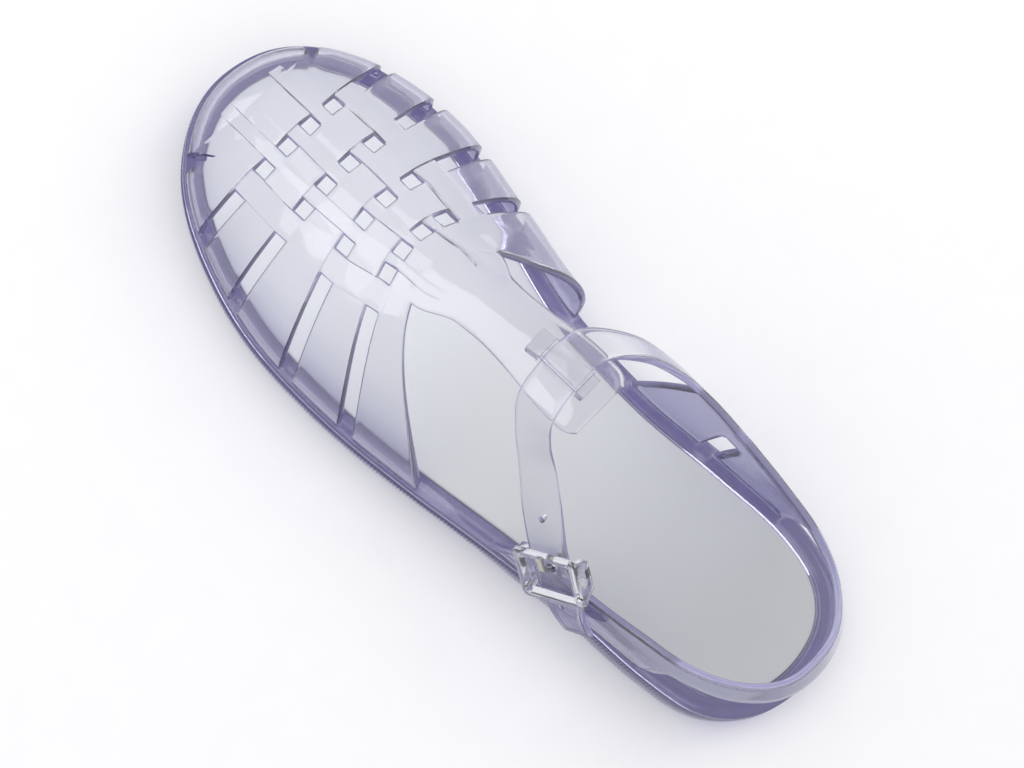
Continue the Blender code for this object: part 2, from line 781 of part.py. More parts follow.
def make_buckle_prong():
    """A bent steel strip hooked under the centre bar, up through the strap and onto the end bar."""
    origin, along, across, out = frame_at(BUCKLE_ROW)
    clear = STRAP_WALL / 2 + BUCKLE_SLACK
    half = PRONG_THICK / 2
    away = GAP + half
    side = CENTRE_BAR / 2 + away
    under = clear + CENTRE_BAR_THICK + away
    over = clear + END_BAR_THICK + away
    path = [
        (side, -clear - 0.5),
        (side, -under),
        (-side, -under),
        (-side, -clear),
        (-side - 0.6, clear),
        (-side - 2.6, over),
        (-BUCKLE_LENGTH / 2 - 0.4, over),
    ]
    path = np.array(path)
    left = []
    right = []
    for i, point in enumerate(path):
        before = path[max(i - 1, 0)]
        after = path[min(i + 1, len(path) - 1)]
        a = point - before if i else after - point
        b = after - point if i < len(path) - 1 else a
        a = a / np.linalg.norm(a)
        b = b / np.linalg.norm(b)
        normal = np.array([-(a + b)[1], (a + b)[0]])
        normal /= np.linalg.norm(normal)
        stretch = half / max(np.dot(normal, [-a[1], a[0]]), 0.5)
        left.append(point + normal * stretch)
        right.append(point - normal * stretch)
    profile = left + right[::-1]
    wide = PRONG_WIDE / 2
    return prism("buckle_prong", origin, (along, across, out), profile, -wide, wide)


def paint(thing, name, colour, roughness, transmission=0.0, metallic=0.0):
    material = bpy.data.materials.new(name)
    material.use_nodes = True
    shader = material.node_tree.nodes["Principled BSDF"]
    shader.inputs["Base Color"].default_value = (*colour, 1.0)
    shader.inputs["Roughness"].default_value = roughness
    shader.inputs["Transmission Weight"].default_value = transmission
    shader.inputs["Metallic"].default_value = metallic
    thing.data.materials.clear()
    thing.data.materials.append(material)


def smooth(thing, angle):
    for polygon in thing.data.polygons:
        polygon.use_smooth = True
    thing.data.set_sharp_from_angle(angle=math.radians(angle))


def main():
    for thing in list(bpy.data.objects):
        bpy.data.objects.remove(thing)
    sole = make_outsole()
    bed = make_insole()
    upper = make_upper()
    frame = make_buckle_frame()
    prong = make_buckle_prong()
    paint(sole, "tinted clear vinyl sole", (0.55, 0.52, 0.80), 0.15, transmission=0.9)
    paint(bed, "white insole", (0.80, 0.80, 0.82), 0.6)
    paint(upper, "tinted clear vinyl", (0.72, 0.72, 0.88), 0.12, transmission=0.9)
    paint(frame, "clear plastic buckle", (0.85, 0.85, 0.90), 0.08, transmission=0.9)
    paint(prong, "steel prong", (0.62, 0.62, 0.64), 0.25, metallic=1.0)
    across = [vertex.co.x for vertex in sole.data.vertices]
    middle = (min(across) + max(across)) / 2
    for thing in (sole, bed, upper, frame, prong):
        for vertex in thing.data.vertices:
            vertex.co.x -= middle
            vertex.co.y -= LENGTH / 2 * MM
        smooth(thing, 40.0)


main()
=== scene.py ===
"""Looks of the left jelly sandal: tinted clear vinyl, a white insole, a clear buckle and a steel prong."""

import math

import bmesh
import bpy
import numpy as np
from mathutils import Matrix, Vector
from mathutils.kdtree import KDTree


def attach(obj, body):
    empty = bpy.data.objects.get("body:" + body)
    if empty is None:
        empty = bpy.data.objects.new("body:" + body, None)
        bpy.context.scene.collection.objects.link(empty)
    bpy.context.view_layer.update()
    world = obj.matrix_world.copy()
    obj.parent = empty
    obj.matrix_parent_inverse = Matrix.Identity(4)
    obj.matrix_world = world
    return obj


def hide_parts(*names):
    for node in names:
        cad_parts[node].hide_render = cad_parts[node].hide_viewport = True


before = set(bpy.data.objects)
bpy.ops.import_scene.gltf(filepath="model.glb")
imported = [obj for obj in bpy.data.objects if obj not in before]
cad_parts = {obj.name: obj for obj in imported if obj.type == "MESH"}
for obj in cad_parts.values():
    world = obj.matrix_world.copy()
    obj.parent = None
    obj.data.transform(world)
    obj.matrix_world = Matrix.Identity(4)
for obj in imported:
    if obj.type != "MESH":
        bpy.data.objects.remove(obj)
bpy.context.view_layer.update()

# Sizes are in millimetres and MM turns them into metres. X points to the inner side of the foot,
# Y to the toe and Z up. The tables count Y from the heel, as the shoemaker does.
MM = 0.001

# Last and sole
LENGTH = 240.0
HEEL_HEIGHT = 19.6
BALL_HEIGHT = 12.2
TOE_SPRING = 8.0
ARCH_RISE = 4.5

# Walls and clearances
GAP = 0.3
STRAP_WALL = 2.2
RIM_WIDTH = 6.3
RIM_DROP = 2.6
RIM_LIP = 0.7
FOOT_INSET = 2.3
FOOT_SINK = 1.2

# Moulded edges: their radius, the roundness of their section and how far the painted edge shade (a deeper
# lilac with more haze) reaches from them
EDGE_RADIUS = 0.75
EDGE_POWER = 2.4
EDGE_FADE = 1.15

# Weave: holes, strips and the relief where the strips cross the bands
HOLE_WIDTH = 4.0
INNER_STRIP = 4.7
OUTER_STRIP = 7.5
RELIEF = 0.42
STEP_WIDTH = 0.4
STRIP_START = 229.0
STRIP_END = 150.0
STRIP_OVERRUN = 14.0
SHORT_RISE = 0.5
LONG_RISE = 3.0
STEP_SHARPNESS = 1.5
SUNK = 4 * RELIEF
CALM_HALF = 12.0
CALM_RISE = 4.0

# Toe cap: its rear edge and the notch on each side
CAP_Y = 225.0
CAP_MARGIN = 0.1
CAP_CALM = 5.0
CAP_ZONE = 3.0
CAP_SINK = 0.1
NOTCH_Y = 229.2
NOTCH_WIDTH = 6.5
NOTCH_HEIGHT = 60.0
OUTER_NOTCH = 9.0
INNER_NOTCH = 7.5

# Strap, keeper and buckle
STRAP_WIDTH = 12.4
KEEPER_WIDTH = 7.2
KEEPER_WALL = 2.0
KEEPER_FRONT_POST = 4.6
KEEPER_REAR_POST = 2.4
KEEPER_FRONT_FOOT = 4.9
KEEPER_RAMP = 2.4
KEEPER_REAR_FOOT = 2.9
KEEPER_CORNER = 0.6
KEEPER_BEVEL = 0.35
BUCKLE_LENGTH = 18.0
BUCKLE_WIDTH = 21.0
BUCKLE_BAR = 3.2
BUCKLE_SLACK = 0.7
END_BAR_THICK = 1.8
CENTRE_BAR = 3.0
CENTRE_BAR_THICK = 1.4
RING_CORNER = 2.0
RING_LEAST_CORNER = 0.5
SIDE_END = 1.0
SIDE_TAPER = 0.55
SIDE_INSET = 0.3
SIDE_OVERLAP = 0.3
SIDE_BEVEL = 0.45
PRONG_WIDE = 1.8
PRONG_THICK = 1.2
PRONG_RISE = 2.8
PRONG_BEVEL = 0.25
STRAP_HOLE = 3.6
STRAP_HOLE_PITCH = 7.5
FREE_HOLE = 2.0
FREE_HOLES = (-2, 2)
HOLE_REACH = 2.4

# Sole: vertical ribs round the wall and cross grooves underneath
RIB_PITCH = 1.2
RIB_DEPTH = 0.38
RIB_NODES = 4
RIB_TOP = 0.9
RIB_FOOT = 2.2
GROOVE_WIDTH = 3.0
GROOVE_DEPTH = 1.3
GROOVE_MARGIN = 9.0
GROOVE_PITCH = 9.0
GROOVE_ROWS = ((20.0, 5), (142.0, 6))

# Section of the vamp and of the side walls
ROUNDNESS = 2.3
CAP_LEAD = 3.0
WALL_BULGE = 0.8

# Mesh steps
EDGE_NODES = (0.07, 0.2, 0.42, 0.8)
CROSS_STEP = 1.3
SIDE_STEPS = 20
TOE_STEPS = 26
T_STEP = 0.9
PATH_STEPS = 8
HOLE_PATH_STEPS = 12
WALL_ROWS = 12
RIM_STEPS = 420
CORNER_STEPS = 6
BEVEL_SEGMENTS = 3
HOLE_SIDES = 32
TURN_SAMPLES = 2881
SIDE_SAMPLES = 1409
WIDTH_SAMPLES = 1441

# Sole outline: turn round the sole in degrees from the heel, inner edge, outer edge
OUTLINE = (
    (0, 0.0, 0.0),
    (15, 17.0, -17.0),
    (30, 28.0, -28.0),
    (45, 32.0, -32.0),
    (60, 30.6, -33.6),
    (75, 28.2, -37.0),
    (90, 30.2, -41.3),
    (105, 37.8, -44.0),
    (120, 43.4, -43.0),
    (135, 41.2, -36.4),
    (150, 33.4, -26.4),
    (165, 20.2, -12.4),
    (180, 3.0, 3.0),
)

# Sole along its length: distance from the heel, height of the underside, height of the footbed
UNDERSIDE = 1
FOOTBED = 2
SOLE_ROWS = (
    (-2.0, 0.0, HEEL_HEIGHT + 0.5),
    (12.0, 0.0, HEEL_HEIGHT),
    (64.0, 0.0, HEEL_HEIGHT - 0.8),
    (102.0, ARCH_RISE, 0.5 * (HEEL_HEIGHT + BALL_HEIGHT) + 0.4),
    (138.0, 0.0, BALL_HEIGHT + 0.5),
    (188.0, 0.0, BALL_HEIGHT),
    (215.0, 0.35 * TOE_SPRING, BALL_HEIGHT + 0.22 * TOE_SPRING),
    (242.0, TOE_SPRING, BALL_HEIGHT + 0.8 * TOE_SPRING),
)

# Lines across the vamp: crown, outer foot, inner foot (distances from the heel),
# crown height, crown x, hole pitch, bulge of the inner side, sweep
VAMP_ROWS = (
    (226.0, 228.5, 226.0, 33.0, 4.5, 8.7, 1.0, 1.7),
    (224.0, 224.5, 222.0, 33.8, 4.4, 8.7, 1.2, 1.7),
    (212.0, 211.5, 209.5, 38.0, 3.9, 8.8, 2.0, 1.7),
    (208.0, 207.5, 206.0, 39.4, 3.7, 8.8, 2.2, 1.7),
    (196.4, 192.5, 192.0, 43.5, 3.0, 9.0, 2.6, 1.7),
    (192.4, 188.5, 188.0, 44.9, 2.9, 9.0, 2.7, 1.7),
    (182.2, 168.5, 172.5, 48.2, 2.6, 8.7, 3.0, 1.7),
    (178.2, 164.0, 168.5, 49.5, 2.5, 8.6, 3.1, 1.7),
    (168.6, 145.5, 153.0, 52.6, 2.6, 7.5, 3.6, 1.8),
    (164.8, 141.0, 149.0, 53.7, 2.8, 7.3, 3.8, 1.8),
    (157.0, 117.0, 120.0, 56.0, 3.4, 7.6, 6.0, 2.3),
)
OUTER_BULGE = 0.8
GAP_ROWS = (2, 4, 6, 8)
BAND_ROWS = (1, 3, 5, 7, 9)

# Cells of a line: 0 and 1 are the outer side, 2 to 10 the strips and holes, 11 and 12 the inner side.
# The middle strap grows out of the line between two of its knots.
OPEN_CELLS = (0, 1, 3, 5, 7, 9, 11, 12)
MIDDLE_KNOTS = (1, 8)

# Middle strap: distance from the heel, centre x, half width, height
T_ROWS = (
    (157.0, 3.6, 10.4, 56.6),
    (154.0, 3.7, 10.3, 57.4),
    (150.0, 4.0, 10.0, 58.5),
    (143.0, 4.4, 9.6, 60.6),
    (134.0, 4.5, 9.3, 63.2),
    (126.0, 4.5, 9.8, 65.2),
    (118.0, 4.5, 10.8, 66.6),
    (110.0, 4.5, 11.5, 67.5),
    (103.0, 4.6, 11.7, 68.0),
    (100.0, 4.6, 11.0, 68.1),
    (98.0, 4.6, 9.2, 68.1),
)
T_BLEND = 14.0
T_LONG_BLEND = 26.0
T_DROP = 1.6
T_OVERHANG = 1.3
T_END_ROOM = 1.0

# Heel and ankle strap: lower edge x, y, z, upper edge x, y, z, foot of the side wall under it
STRAP_ROWS = (
    (-33.0, 85.5, 26.0, -30.6, 86.5, 31.0, 93.0),
    (-32.6, 73.0, 27.0, -29.9, 74.0, 34.5, 80.0),
    (-31.8, 60.0, 30.0, -29.3, 60.5, 40.0, 65.0),
    (-30.6, 46.0, 35.5, -28.2, 46.0, 47.5, 50.0),
    (-28.0, 31.0, 38.5, -25.8, 31.5, 50.0, 38.0),
    (-22.3, 16.5, 40.0, -20.0, 18.8, 51.5, 30.0),
    (-12.5, 6.4, 40.5, -11.0, 10.0, 52.0, 30.0),
    (0.0, 3.2, 40.5, 0.0, 7.6, 52.2, 30.0),
    (12.5, 6.4, 40.5, 11.0, 10.0, 52.2, 30.0),
    (22.3, 16.5, 41.0, 20.0, 18.8, 52.5, 30.0),
    (27.6, 31.0, 42.0, 25.4, 31.5, 53.4, 38.0),
    (29.8, 46.0, 43.0, 27.6, 46.0, 54.6, 50.0),
    (31.0, 60.5, 44.4, 28.8, 60.0, 56.0, 65.0),
    (31.2, 65.5, 45.0, 29.0, 65.0, 56.6, 69.5),
    (31.7, 75.0, 46.6, 29.2, 73.5, 58.0, 82.0),
    (31.5, 83.0, 48.8, 28.7, 80.5, 60.0, 97.0),
    (30.5, 92.0, 52.0, 27.2, 88.0, 63.4, 97.0),
    (26.2, 105.0, 59.5, 22.6, 98.0, 67.5, 97.0),
    (15.5, 117.0, 67.8, 14.0, 106.0, 70.4, 97.0),
    (4.5, 118.8, 70.6, 4.5, 106.8, 70.9, 97.0),
    (-8.2, 117.2, 69.0, -7.3, 105.0, 69.8, 97.0),
    (-15.2, 111.0, 64.0, -12.3, 100.5, 64.6, 97.0),
    (-20.6, 103.0, 57.4, -15.4, 93.8, 58.6, 97.0),
    (-26.4, 94.6, 50.5, -21.2, 85.4, 55.5, 97.0),
    (-31.3, 85.7, 43.9, -27.4, 76.8, 51.6, 97.0),
    (-34.0, 79.0, 37.6, -30.0, 70.2, 45.4, 97.0),
    (-36.6, 72.4, 31.4, -32.7, 63.5, 39.1, 97.0),
    (-37.6, 65.5, 26.0, -34.9, 58.5, 35.8, 97.0),
    (-37.8, 60.0, 23.4, -35.8, 54.0, 32.8, 97.0),
)
LATERAL_WALL = (0, 4)
MEDIAL_WALL = (10, 15)
MEDIAL_SLIT = 12
HEEL_ROW = 7
KEEPER_ROW = 19
BUCKLE_ROW = 25


# Curves and the outline of the sole


def clamp_spline(keys, values, at):
    """A curve through the rows that never overshoots them, so that the flats stay flat."""
    keys = np.asarray(keys, float)
    values = np.asarray(values, float)
    slope = np.diff(values) / np.diff(keys)
    tangent = np.zeros(len(keys))
    tangent[0] = slope[0]
    tangent[-1] = slope[-1]
    for i in range(1, len(keys) - 1):
        if slope[i - 1] * slope[i] > 0:
            tangent[i] = 2 * slope[i - 1] * slope[i] / (slope[i - 1] + slope[i])
    at = np.clip(np.asarray(at, float), keys[0], keys[-1])
    i = np.clip(np.searchsorted(keys, at, side="right") - 1, 0, len(keys) - 2)
    span = keys[i + 1] - keys[i]
    t = (at - keys[i]) / span
    return (
        values[i] * (1 + 2 * t) * (1 - t) ** 2
        + tangent[i] * span * t * (1 - t) ** 2
        + values[i + 1] * t * t * (3 - 2 * t)
        + tangent[i + 1] * span * t * t * (t - 1)
    )


def ease(value):
    """0 below 0, 1 above 1 and a smooth rise between."""
    value = np.clip(value, 0.0, 1.0)
    return value * value * (3 - 2 * value)


def unit(vector):
    """The same direction with a length of 1."""
    return vector / np.linalg.norm(vector)


def sole_height(y, column):
    """Height of the underside or of the footbed at a distance from the heel."""
    return clamp_spline([row[0] for row in SOLE_ROWS], [row[column] for row in SOLE_ROWS], y)


def above(column, amount):
    """A height function that stays an amount above the underside or the footbed."""
    return lambda y: sole_height(y, column) + amount


def smooth(p0, p1, p2, p3, t):
    """The smooth curve from p1 to p2 that also heeds the points before and after them."""
    curve = 2 * p1 + (p2 - p0) * t + (2 * p0 - 5 * p1 + 4 * p2 - p3) * t * t
    return 0.5 * (curve + (3 * p1 - p0 - 3 * p2 + p3) * t**3)


def ring_x(turn):
    """The x of the sole outline at a turn."""
    ring = np.array([row[1] for row in OUTLINE] + [row[2] for row in OUTLINE[-2:0:-1]])
    count = len(ring)
    at = np.asarray(turn, float) % 360.0 * count / 360.0
    i = np.floor(at).astype(int) % count
    return smooth(*(ring[(i + k) % count] for k in (-1, 0, 1, 2)), at - np.floor(at))


def outline(turn, inset=0.0):
    """Points of the sole outline, moved in by inset. The turn runs from the heel up the inner side."""
    turn = np.asarray(turn, float)

    def raw(angle):
        return ring_x(angle), LENGTH * (1 - np.cos(np.radians(angle))) / 2

    x, y = raw(turn)
    xa, ya = raw(turn - 0.5)
    xb, yb = raw(turn + 0.5)
    length = np.hypot(xb - xa, yb - ya)
    return x - (yb - ya) / length * inset, y + (xb - xa) / length * inset


def even_turns(count):
    """Turns that stand at equal distances along the outline."""
    turns = np.linspace(0.0, 360.0, TURN_SAMPLES)
    reach = distances(np.stack(outline(turns), axis=1))
    return np.interp((np.arange(count) + 0.5) / count * reach[-1], reach, turns), reach[-1]


def edge_turn(y, side, inset):
    """The turn at which the inset outline passes a distance from the heel, on one side."""
    turns = np.linspace(2.0, 178.0, SIDE_SAMPLES)
    if side < 0:
        turns = 360.0 - turns
    return np.interp(y, outline(turns, inset)[1], turns)


def foot_point(y, side):
    """Where the wall of the upper meets the rim, inside the outline and just below the footbed."""
    x, y = outline(edge_turn(y, side, FOOT_INSET), FOOT_INSET)
    return np.array([x, y, sole_height(y, FOOTBED) - FOOT_SINK])


def distances(points):
    """Distance of each point from the first one, along the line through them all."""
    return np.concatenate([[0], np.cumsum(np.linalg.norm(np.diff(points, axis=0), axis=1))])


def catmull(points, steps):
    """Points along a smooth curve through the rows."""
    points = np.asarray(points, float)
    last = len(points) - 1
    out = []
    for i in range(last):
        near = [points[min(max(i + k, 0), last)] for k in (-1, 0, 1, 2)]
        out += [smooth(*near, k / steps) for k in range(steps)]
    out.append(points[-1])
    return np.array(out)


# Vamp: lines across the last from foot to foot, with the toe cap before them and the middle strap after


def weave_knots(pitch):
    """Places across the weave, from the crown: the ends of the side gaps and the edges of the holes."""
    half = HOLE_WIDTH / 2
    reach = 1.5 * pitch + half + OUTER_STRIP
    knots = [-reach]
    for k in (-1.5, -0.5, 0.5, 1.5):
        knots += [k * pitch - half, k * pitch + half]
    return np.array(knots + [reach])


def fractions(size):
    """Places between two edges from 0 up to 1, close together at both edges, where the vinyl is rounded."""
    near = [0.0] + [step for step in EDGE_NODES if step < 0.45 * size]
    count = max(int(math.ceil((size - 2 * near[-1]) / CROSS_STEP)), 1)
    middle = [near[-1] + (size - 2 * near[-1]) * k / count for k in range(1, count)]
    far = [size - step for step in near[:0:-1]]
    return np.array(near + middle + far) / size


def cross_places():
    """For every column of the weave: its knot, its share on to the next knot, and its cell."""
    sizes = [OUTER_STRIP] + [HOLE_WIDTH, INNER_STRIP] * 3 + [HOLE_WIDTH, OUTER_STRIP]
    places = []
    for knot, size in enumerate(sizes):
        places += [(knot, share) for share in fractions(size)]
    places.append((len(sizes) - 1, 1.0))
    return places


def section_point(x, x_crown, y_crown, z_crown, foot, bulge, sweep):
    """A point of one line across the vamp, from its x, between the crown and a foot."""
    c = min(abs(x - x_crown) / abs(foot[0] - x_crown), 1.0)
    up = (1 - c**ROUNDNESS) ** (1 / ROUNDNESS)
    y = y_crown + (foot[1] - y_crown) * c**sweep
    out = bulge * math.sin(math.pi * up) * c**2
    return [x + math.copysign(out, foot[0]), y, foot[2] + (z_crown - foot[2]) * up]


def vamp_line(y_crown, places):
    """Points of one line across the vamp from outer to inner foot, with its crown's x and its hole pitch."""
    keys = [-row[0] for row in VAMP_ROWS]
    y_outer, y_inner, z_crown, x_crown, pitch, bulge, sweep = (
        float(clamp_spline(keys, [row[k] for row in VAMP_ROWS], -y_crown)) for k in range(1, 8)
    )
    outer = foot_point(y_outer, -1)
    inner = foot_point(y_inner, 1)
    knots = weave_knots(pitch)
    middle = [x_crown + knots[k] + (knots[k + 1] - knots[k]) * share for k, share in places]

    def side(foot, x_start, swell):
        c = abs(x_start - x_crown) / abs(foot[0] - x_crown)
        start = math.asin(c ** (ROUNDNESS / 2))
        points = []
        for i in range(1, SIDE_STEPS + 1):
            angle = start + (math.pi / 2 - start) * i / SIDE_STEPS
            x = x_crown + (foot[0] - x_crown) * math.sin(angle) ** (2 / ROUNDNESS)
            points.append(section_point(x, x_crown, y_crown, z_crown, foot, swell, sweep))
        return points

    line = side(outer, middle[0], OUTER_BULGE)[::-1]
    for x in middle:
        foot, swell = (outer, OUTER_BULGE) if x < x_crown else (inner, bulge)
        line.append(section_point(x, x_crown, y_crown, z_crown, foot, swell, sweep))
    line += side(inner, middle[-1], bulge)
    return np.array(line), x_crown, pitch


def toe_lines(first):
    """Lines of the toe cap, from the toe outline back to the first line of the vamp."""
    reach = distances(first[:, :2])
    share = reach / reach[-1]
    start = edge_turn(first[0][1] + CAP_LEAD, -1, FOOT_INSET)
    end = edge_turn(first[-1][1] + CAP_LEAD, 1, FOOT_INSET)
    x, y = outline(start + (end - start) * share, FOOT_INSET)
    toe = np.stack([x, y, sole_height(y, FOOTBED) - FOOT_SINK], axis=1)
    lines = []
    for i in range(TOE_STEPS):
        angle = math.pi / 2 * (1 - i / TOE_STEPS)
        out = math.sin(angle) ** (2 / ROUNDNESS)
        up = math.cos(angle) ** (2 / ROUNDNESS)
        line = first + (toe - first) * out
        line[:, 2] = toe[:, 2] + (first[:, 2] - toe[:, 2]) * up
        lines.append(line)
    return lines


def middle_line(y, throat, edge):
    """A line across the middle strap, which grows out of the last line of the vamp."""
    keys = [-row[0] for row in T_ROWS]
    x_mid, half, z = [clamp_spline(keys, [row[k] for row in T_ROWS], -y) for k in (1, 2, 3)]
    share = np.clip((throat[:, 0] - x_mid) / edge, -T_OVERHANG, T_OVERHANG)
    line = np.zeros_like(throat)
    line[:, 0] = x_mid + half * share
    line[:, 1] = y
    line[:, 2] = z - T_DROP * share**2
    return line


def middle_lines(throat, edge, stations):
    """The lines of the middle strap, which leave the vamp's last line smoothly, more slowly lengthwise."""
    root = middle_line(T_ROWS[0][0], throat, edge)
    lines = []
    for y in stations:
        run = T_ROWS[0][0] - y
        near = 1 - ease(run / T_BLEND)
        far = 1 - ease(run / T_LONG_BLEND)
        lines.append(middle_line(y, throat, edge) + (throat - root) * np.array([near, far, near]))
    return lines


def crossing_level(stops, values, at):
    """A smooth step from each crossing's level to the next, and the end levels beyond them."""
    at = min(max(at, stops[0]), stops[-1])
    k = int(np.clip(np.searchsorted(stops, at) - 1, 0, len(stops) - 2))
    t = (at - stops[k]) / (stops[k + 1] - stops[k])
    return values[k] + (values[k + 1] - values[k]) * ease((t - 0.5) * STEP_SHARPNESS + 0.5)


def over(strip, band):
    """Whether the strip passes over the band."""
    return (strip + band) % 2 == 1


def weave_relief(y, q, pitch):
    """How far the top of the vinyl stands above its plain level where the strips pass over and under.
    Bands run across and strips run along, and each one rises over every second one that it meets."""
    rows = [row[0] for row in VAMP_ROWS]
    band_y = [(rows[k] + rows[k + 1]) / 2 for k in BAND_ROWS]
    band_half = [(rows[k] - rows[k + 1]) / 2 for k in BAND_ROWS]
    half = (pitch - HOLE_WIDTH) / 2
    far = 1.5 * pitch + HOLE_WIDTH / 2 + OUTER_STRIP / 2
    strip_x = [-far, -pitch, 0.0, pitch, far]
    strip_half = [OUTER_STRIP / 2, half, half, half, OUTER_STRIP / 2]
    near_cap = y > CAP_Y - CAP_ZONE
    plain = ease((y - CAP_Y - CAP_MARGIN) / SHORT_RISE) if near_cap else ease((band_y[4] - y) / LONG_RISE)
    best = np.full(len(q), -SUNK * (1 - plain))
    inner = ease((CALM_HALF - np.abs(q)) / CALM_RISE)
    for band in range(5):
        inside = (band_half[band] - abs(y - band_y[band])) / STEP_WIDTH
        if band == 0 and y > band_y[0]:
            inside = (CAP_Y + CAP_MARGIN - y) / SHORT_RISE
        if inside <= 0:
            continue
        calm = 1.0
        if band == 0:
            calm = np.maximum(inner, ease((CAP_Y - y) / CAP_CALM))
        if band == 4:
            calm = np.maximum(inner, ease((y - rows[10]) / LONG_RISE))
        levels = [0.0, *(-RELIEF if over(strip, band) else RELIEF for strip in range(5)), 0.0]
        stops = [strip_x[0] - STRIP_OVERRUN, *strip_x, strip_x[4] + STRIP_OVERRUN]
        heights = np.array([crossing_level(stops, levels, at) for at in q])
        best = np.maximum(best, heights * calm - SUNK * (1 - ease(inside)))
    if near_cap:
        best = np.maximum(best, -CAP_SINK * inner)
    for strip in range(5):
        inside = (strip_half[strip] - np.abs(q - strip_x[strip])) / STEP_WIDTH
        levels = [RELIEF if over(strip, band) else -RELIEF for band in range(5)]
        height = crossing_level(band_y[::-1], levels[::-1], y)
        ends = 1.0
        if strip in (1, 3):
            ends = ease((STRIP_START - y) / SHORT_RISE) * ease((y - STRIP_END) / SHORT_RISE)
        elif y > band_y[0] or y < band_y[4]:
            ends = 0.0
        best = np.maximum(best, height - SUNK * (1 - ease(inside) * ends))
    return best


def vamp_grid():
    """Every line of the vamp and the middle strap, the cells that are closed and the raised weave."""
    places = cross_places()
    half_side = SIDE_STEPS // 2
    cells = [0] * half_side + [1] * half_side + [2 + knot for knot, _ in places[:-1]]
    cells += [11] * half_side + [12] * half_side
    knots = [knot for knot, _ in places]
    first, last = (SIDE_STEPS + knots.index(knot) for knot in MIDDLE_KNOTS)
    crowns = []
    row_cell = []
    for k in range(len(VAMP_ROWS) - 1):
        front = VAMP_ROWS[k][0]
        size = front - VAMP_ROWS[k + 1][0]
        for share in fractions(size):
            crowns.append(front - size * share)
            row_cell.append(k)
    crowns.append(VAMP_ROWS[-1][0])
    lines = []
    raised = []
    for y in crowns:
        line, x_crown, pitch = vamp_line(y, places)
        lines.append(line)
        raised.append(weave_relief(y, line[:, 0] - x_crown, pitch))
    q_first = lines[0][:, 0] - VAMP_ROWS[0][4]
    toe = toe_lines(lines[0])
    toe_raised = [weave_relief(float(line[len(line) // 2][1]), q_first, VAMP_ROWS[0][5]) for line in toe]
    throat = lines[-1]
    edge = (throat[last][0] - throat[first][0]) / 2
    start, end = T_ROWS[0][0], T_ROWS[-1][0]
    stations = [start - T_STEP * k for k in range(1, int((start - end) / T_STEP) + 1)]
    stations = [y for y in stations if y > end + T_END_ROOM] + [end + d for d in EDGE_NODES[::-1]] + [end]
    tail = middle_lines(throat, edge, stations)
    q_last = throat[:, 0] - VAMP_ROWS[-1][4]
    tail_raised = [weave_relief(y, q_last, VAMP_ROWS[-1][5]) for y in stations]
    closed = [[True] * len(cells) for _ in toe]
    closed += [[k not in GAP_ROWS or cell not in OPEN_CELLS for cell in cells] for k in row_cell]
    closed += [[first <= j < last for j in range(len(cells))] for _ in tail]
    grid = np.array(toe + lines + tail)
    return grid, np.array(closed), np.array(toe_raised + raised + tail_raised)


def notch_cutter(side, depth):
    """A wedge that opens the edge of the toe cap down to the rim and closes to a point inwards."""
    turn = edge_turn(NOTCH_Y, side, 0.0)
    edge = np.array([*outline(turn), 0.0])
    inward = np.array([*outline(turn, 1.0), 0.0]) - edge
    along = np.array([-inward[1], inward[0], 0.0])
    beyond = 3.0
    wide = NOTCH_WIDTH / 2 * (depth + beyond) / depth
    profile = [(-beyond, -wide), (depth, 0.0), (-beyond, wide)]
    return prism("notch", edge, (inward, np.array([0.0, 0.0, 1.0]), along), profile, 0.0, NOTCH_HEIGHT)


# Strap and the side walls under it


def strap_path(steps):
    """Lower edge, upper edge and wall foot of the strap at each step."""
    return catmull(STRAP_ROWS, steps)


def middle_of(path):
    """The line along the middle of the strap."""
    return (path[:, :3] + path[:, 3:6]) / 2


def strap_grid():
    """The strap and the side walls under it, in rows from the footbed up."""
    path = strap_path(PATH_STEPS)
    columns = len(path)
    walls = [range(a * PATH_STEPS, b * PATH_STEPS + 1) for a, b in (LATERAL_WALL, MEDIAL_WALL)]
    lines = []
    for i in range(WALL_ROWS):
        up = i / WALL_ROWS
        line = []
        for k, row in enumerate(path):
            low = row[:3]
            side = 1 if k > HEEL_ROW * PATH_STEPS else -1
            if k in walls[0] or k in walls[1]:
                foot = foot_point(row[6], side)
                point = foot + (low - foot) * up
                point[0] += side * WALL_BULGE * math.sin(math.pi * up)
            else:
                point = low + (low - row[3:6]) * (1 - up)
            line.append(point)
        lines.append(line)
    for share in [*fractions(STRAP_WIDTH), 1.0]:
        lines.append([row[:3] + (row[3:6] - row[:3]) * share for row in path])
    closed = np.zeros((len(lines) - 1, columns - 1), bool)
    closed[WALL_ROWS:, :] = True
    for wall in walls:
        closed[:WALL_ROWS, wall.start : wall.stop - 1] = True
    slit = slice(MEDIAL_SLIT * PATH_STEPS, (MEDIAL_SLIT + 1) * PATH_STEPS)
    closed[: WALL_ROWS * 2 // 3, slit] = False
    return np.array(lines), closed


def frame_at(row):
    """Centre, direction along the strap, direction across it and outward normal at one table row."""
    path = strap_path(1)
    centre = middle_of(path)
    along = unit(centre[row + 1] - centre[row - 1])
    across = path[row][3:6] - path[row][:3]
    across = unit(across - along * np.dot(across, along))
    return centre[row], along, across, np.cross(along, across)


# Meshes and what cuts or rounds them


def make(name, points, faces):
    """A mesh object from points in millimetres and faces, with its normals turned outwards."""
    data = bpy.data.meshes.new(name)
    data.from_pydata((np.asarray(points) * MM).tolist(), [], [list(map(int, face)) for face in faces])
    mesh = bmesh.new()
    mesh.from_mesh(data)
    bmesh.ops.recalc_face_normals(mesh, faces=mesh.faces)
    mesh.to_mesh(data)
    mesh.free()
    return link_object(name, data)


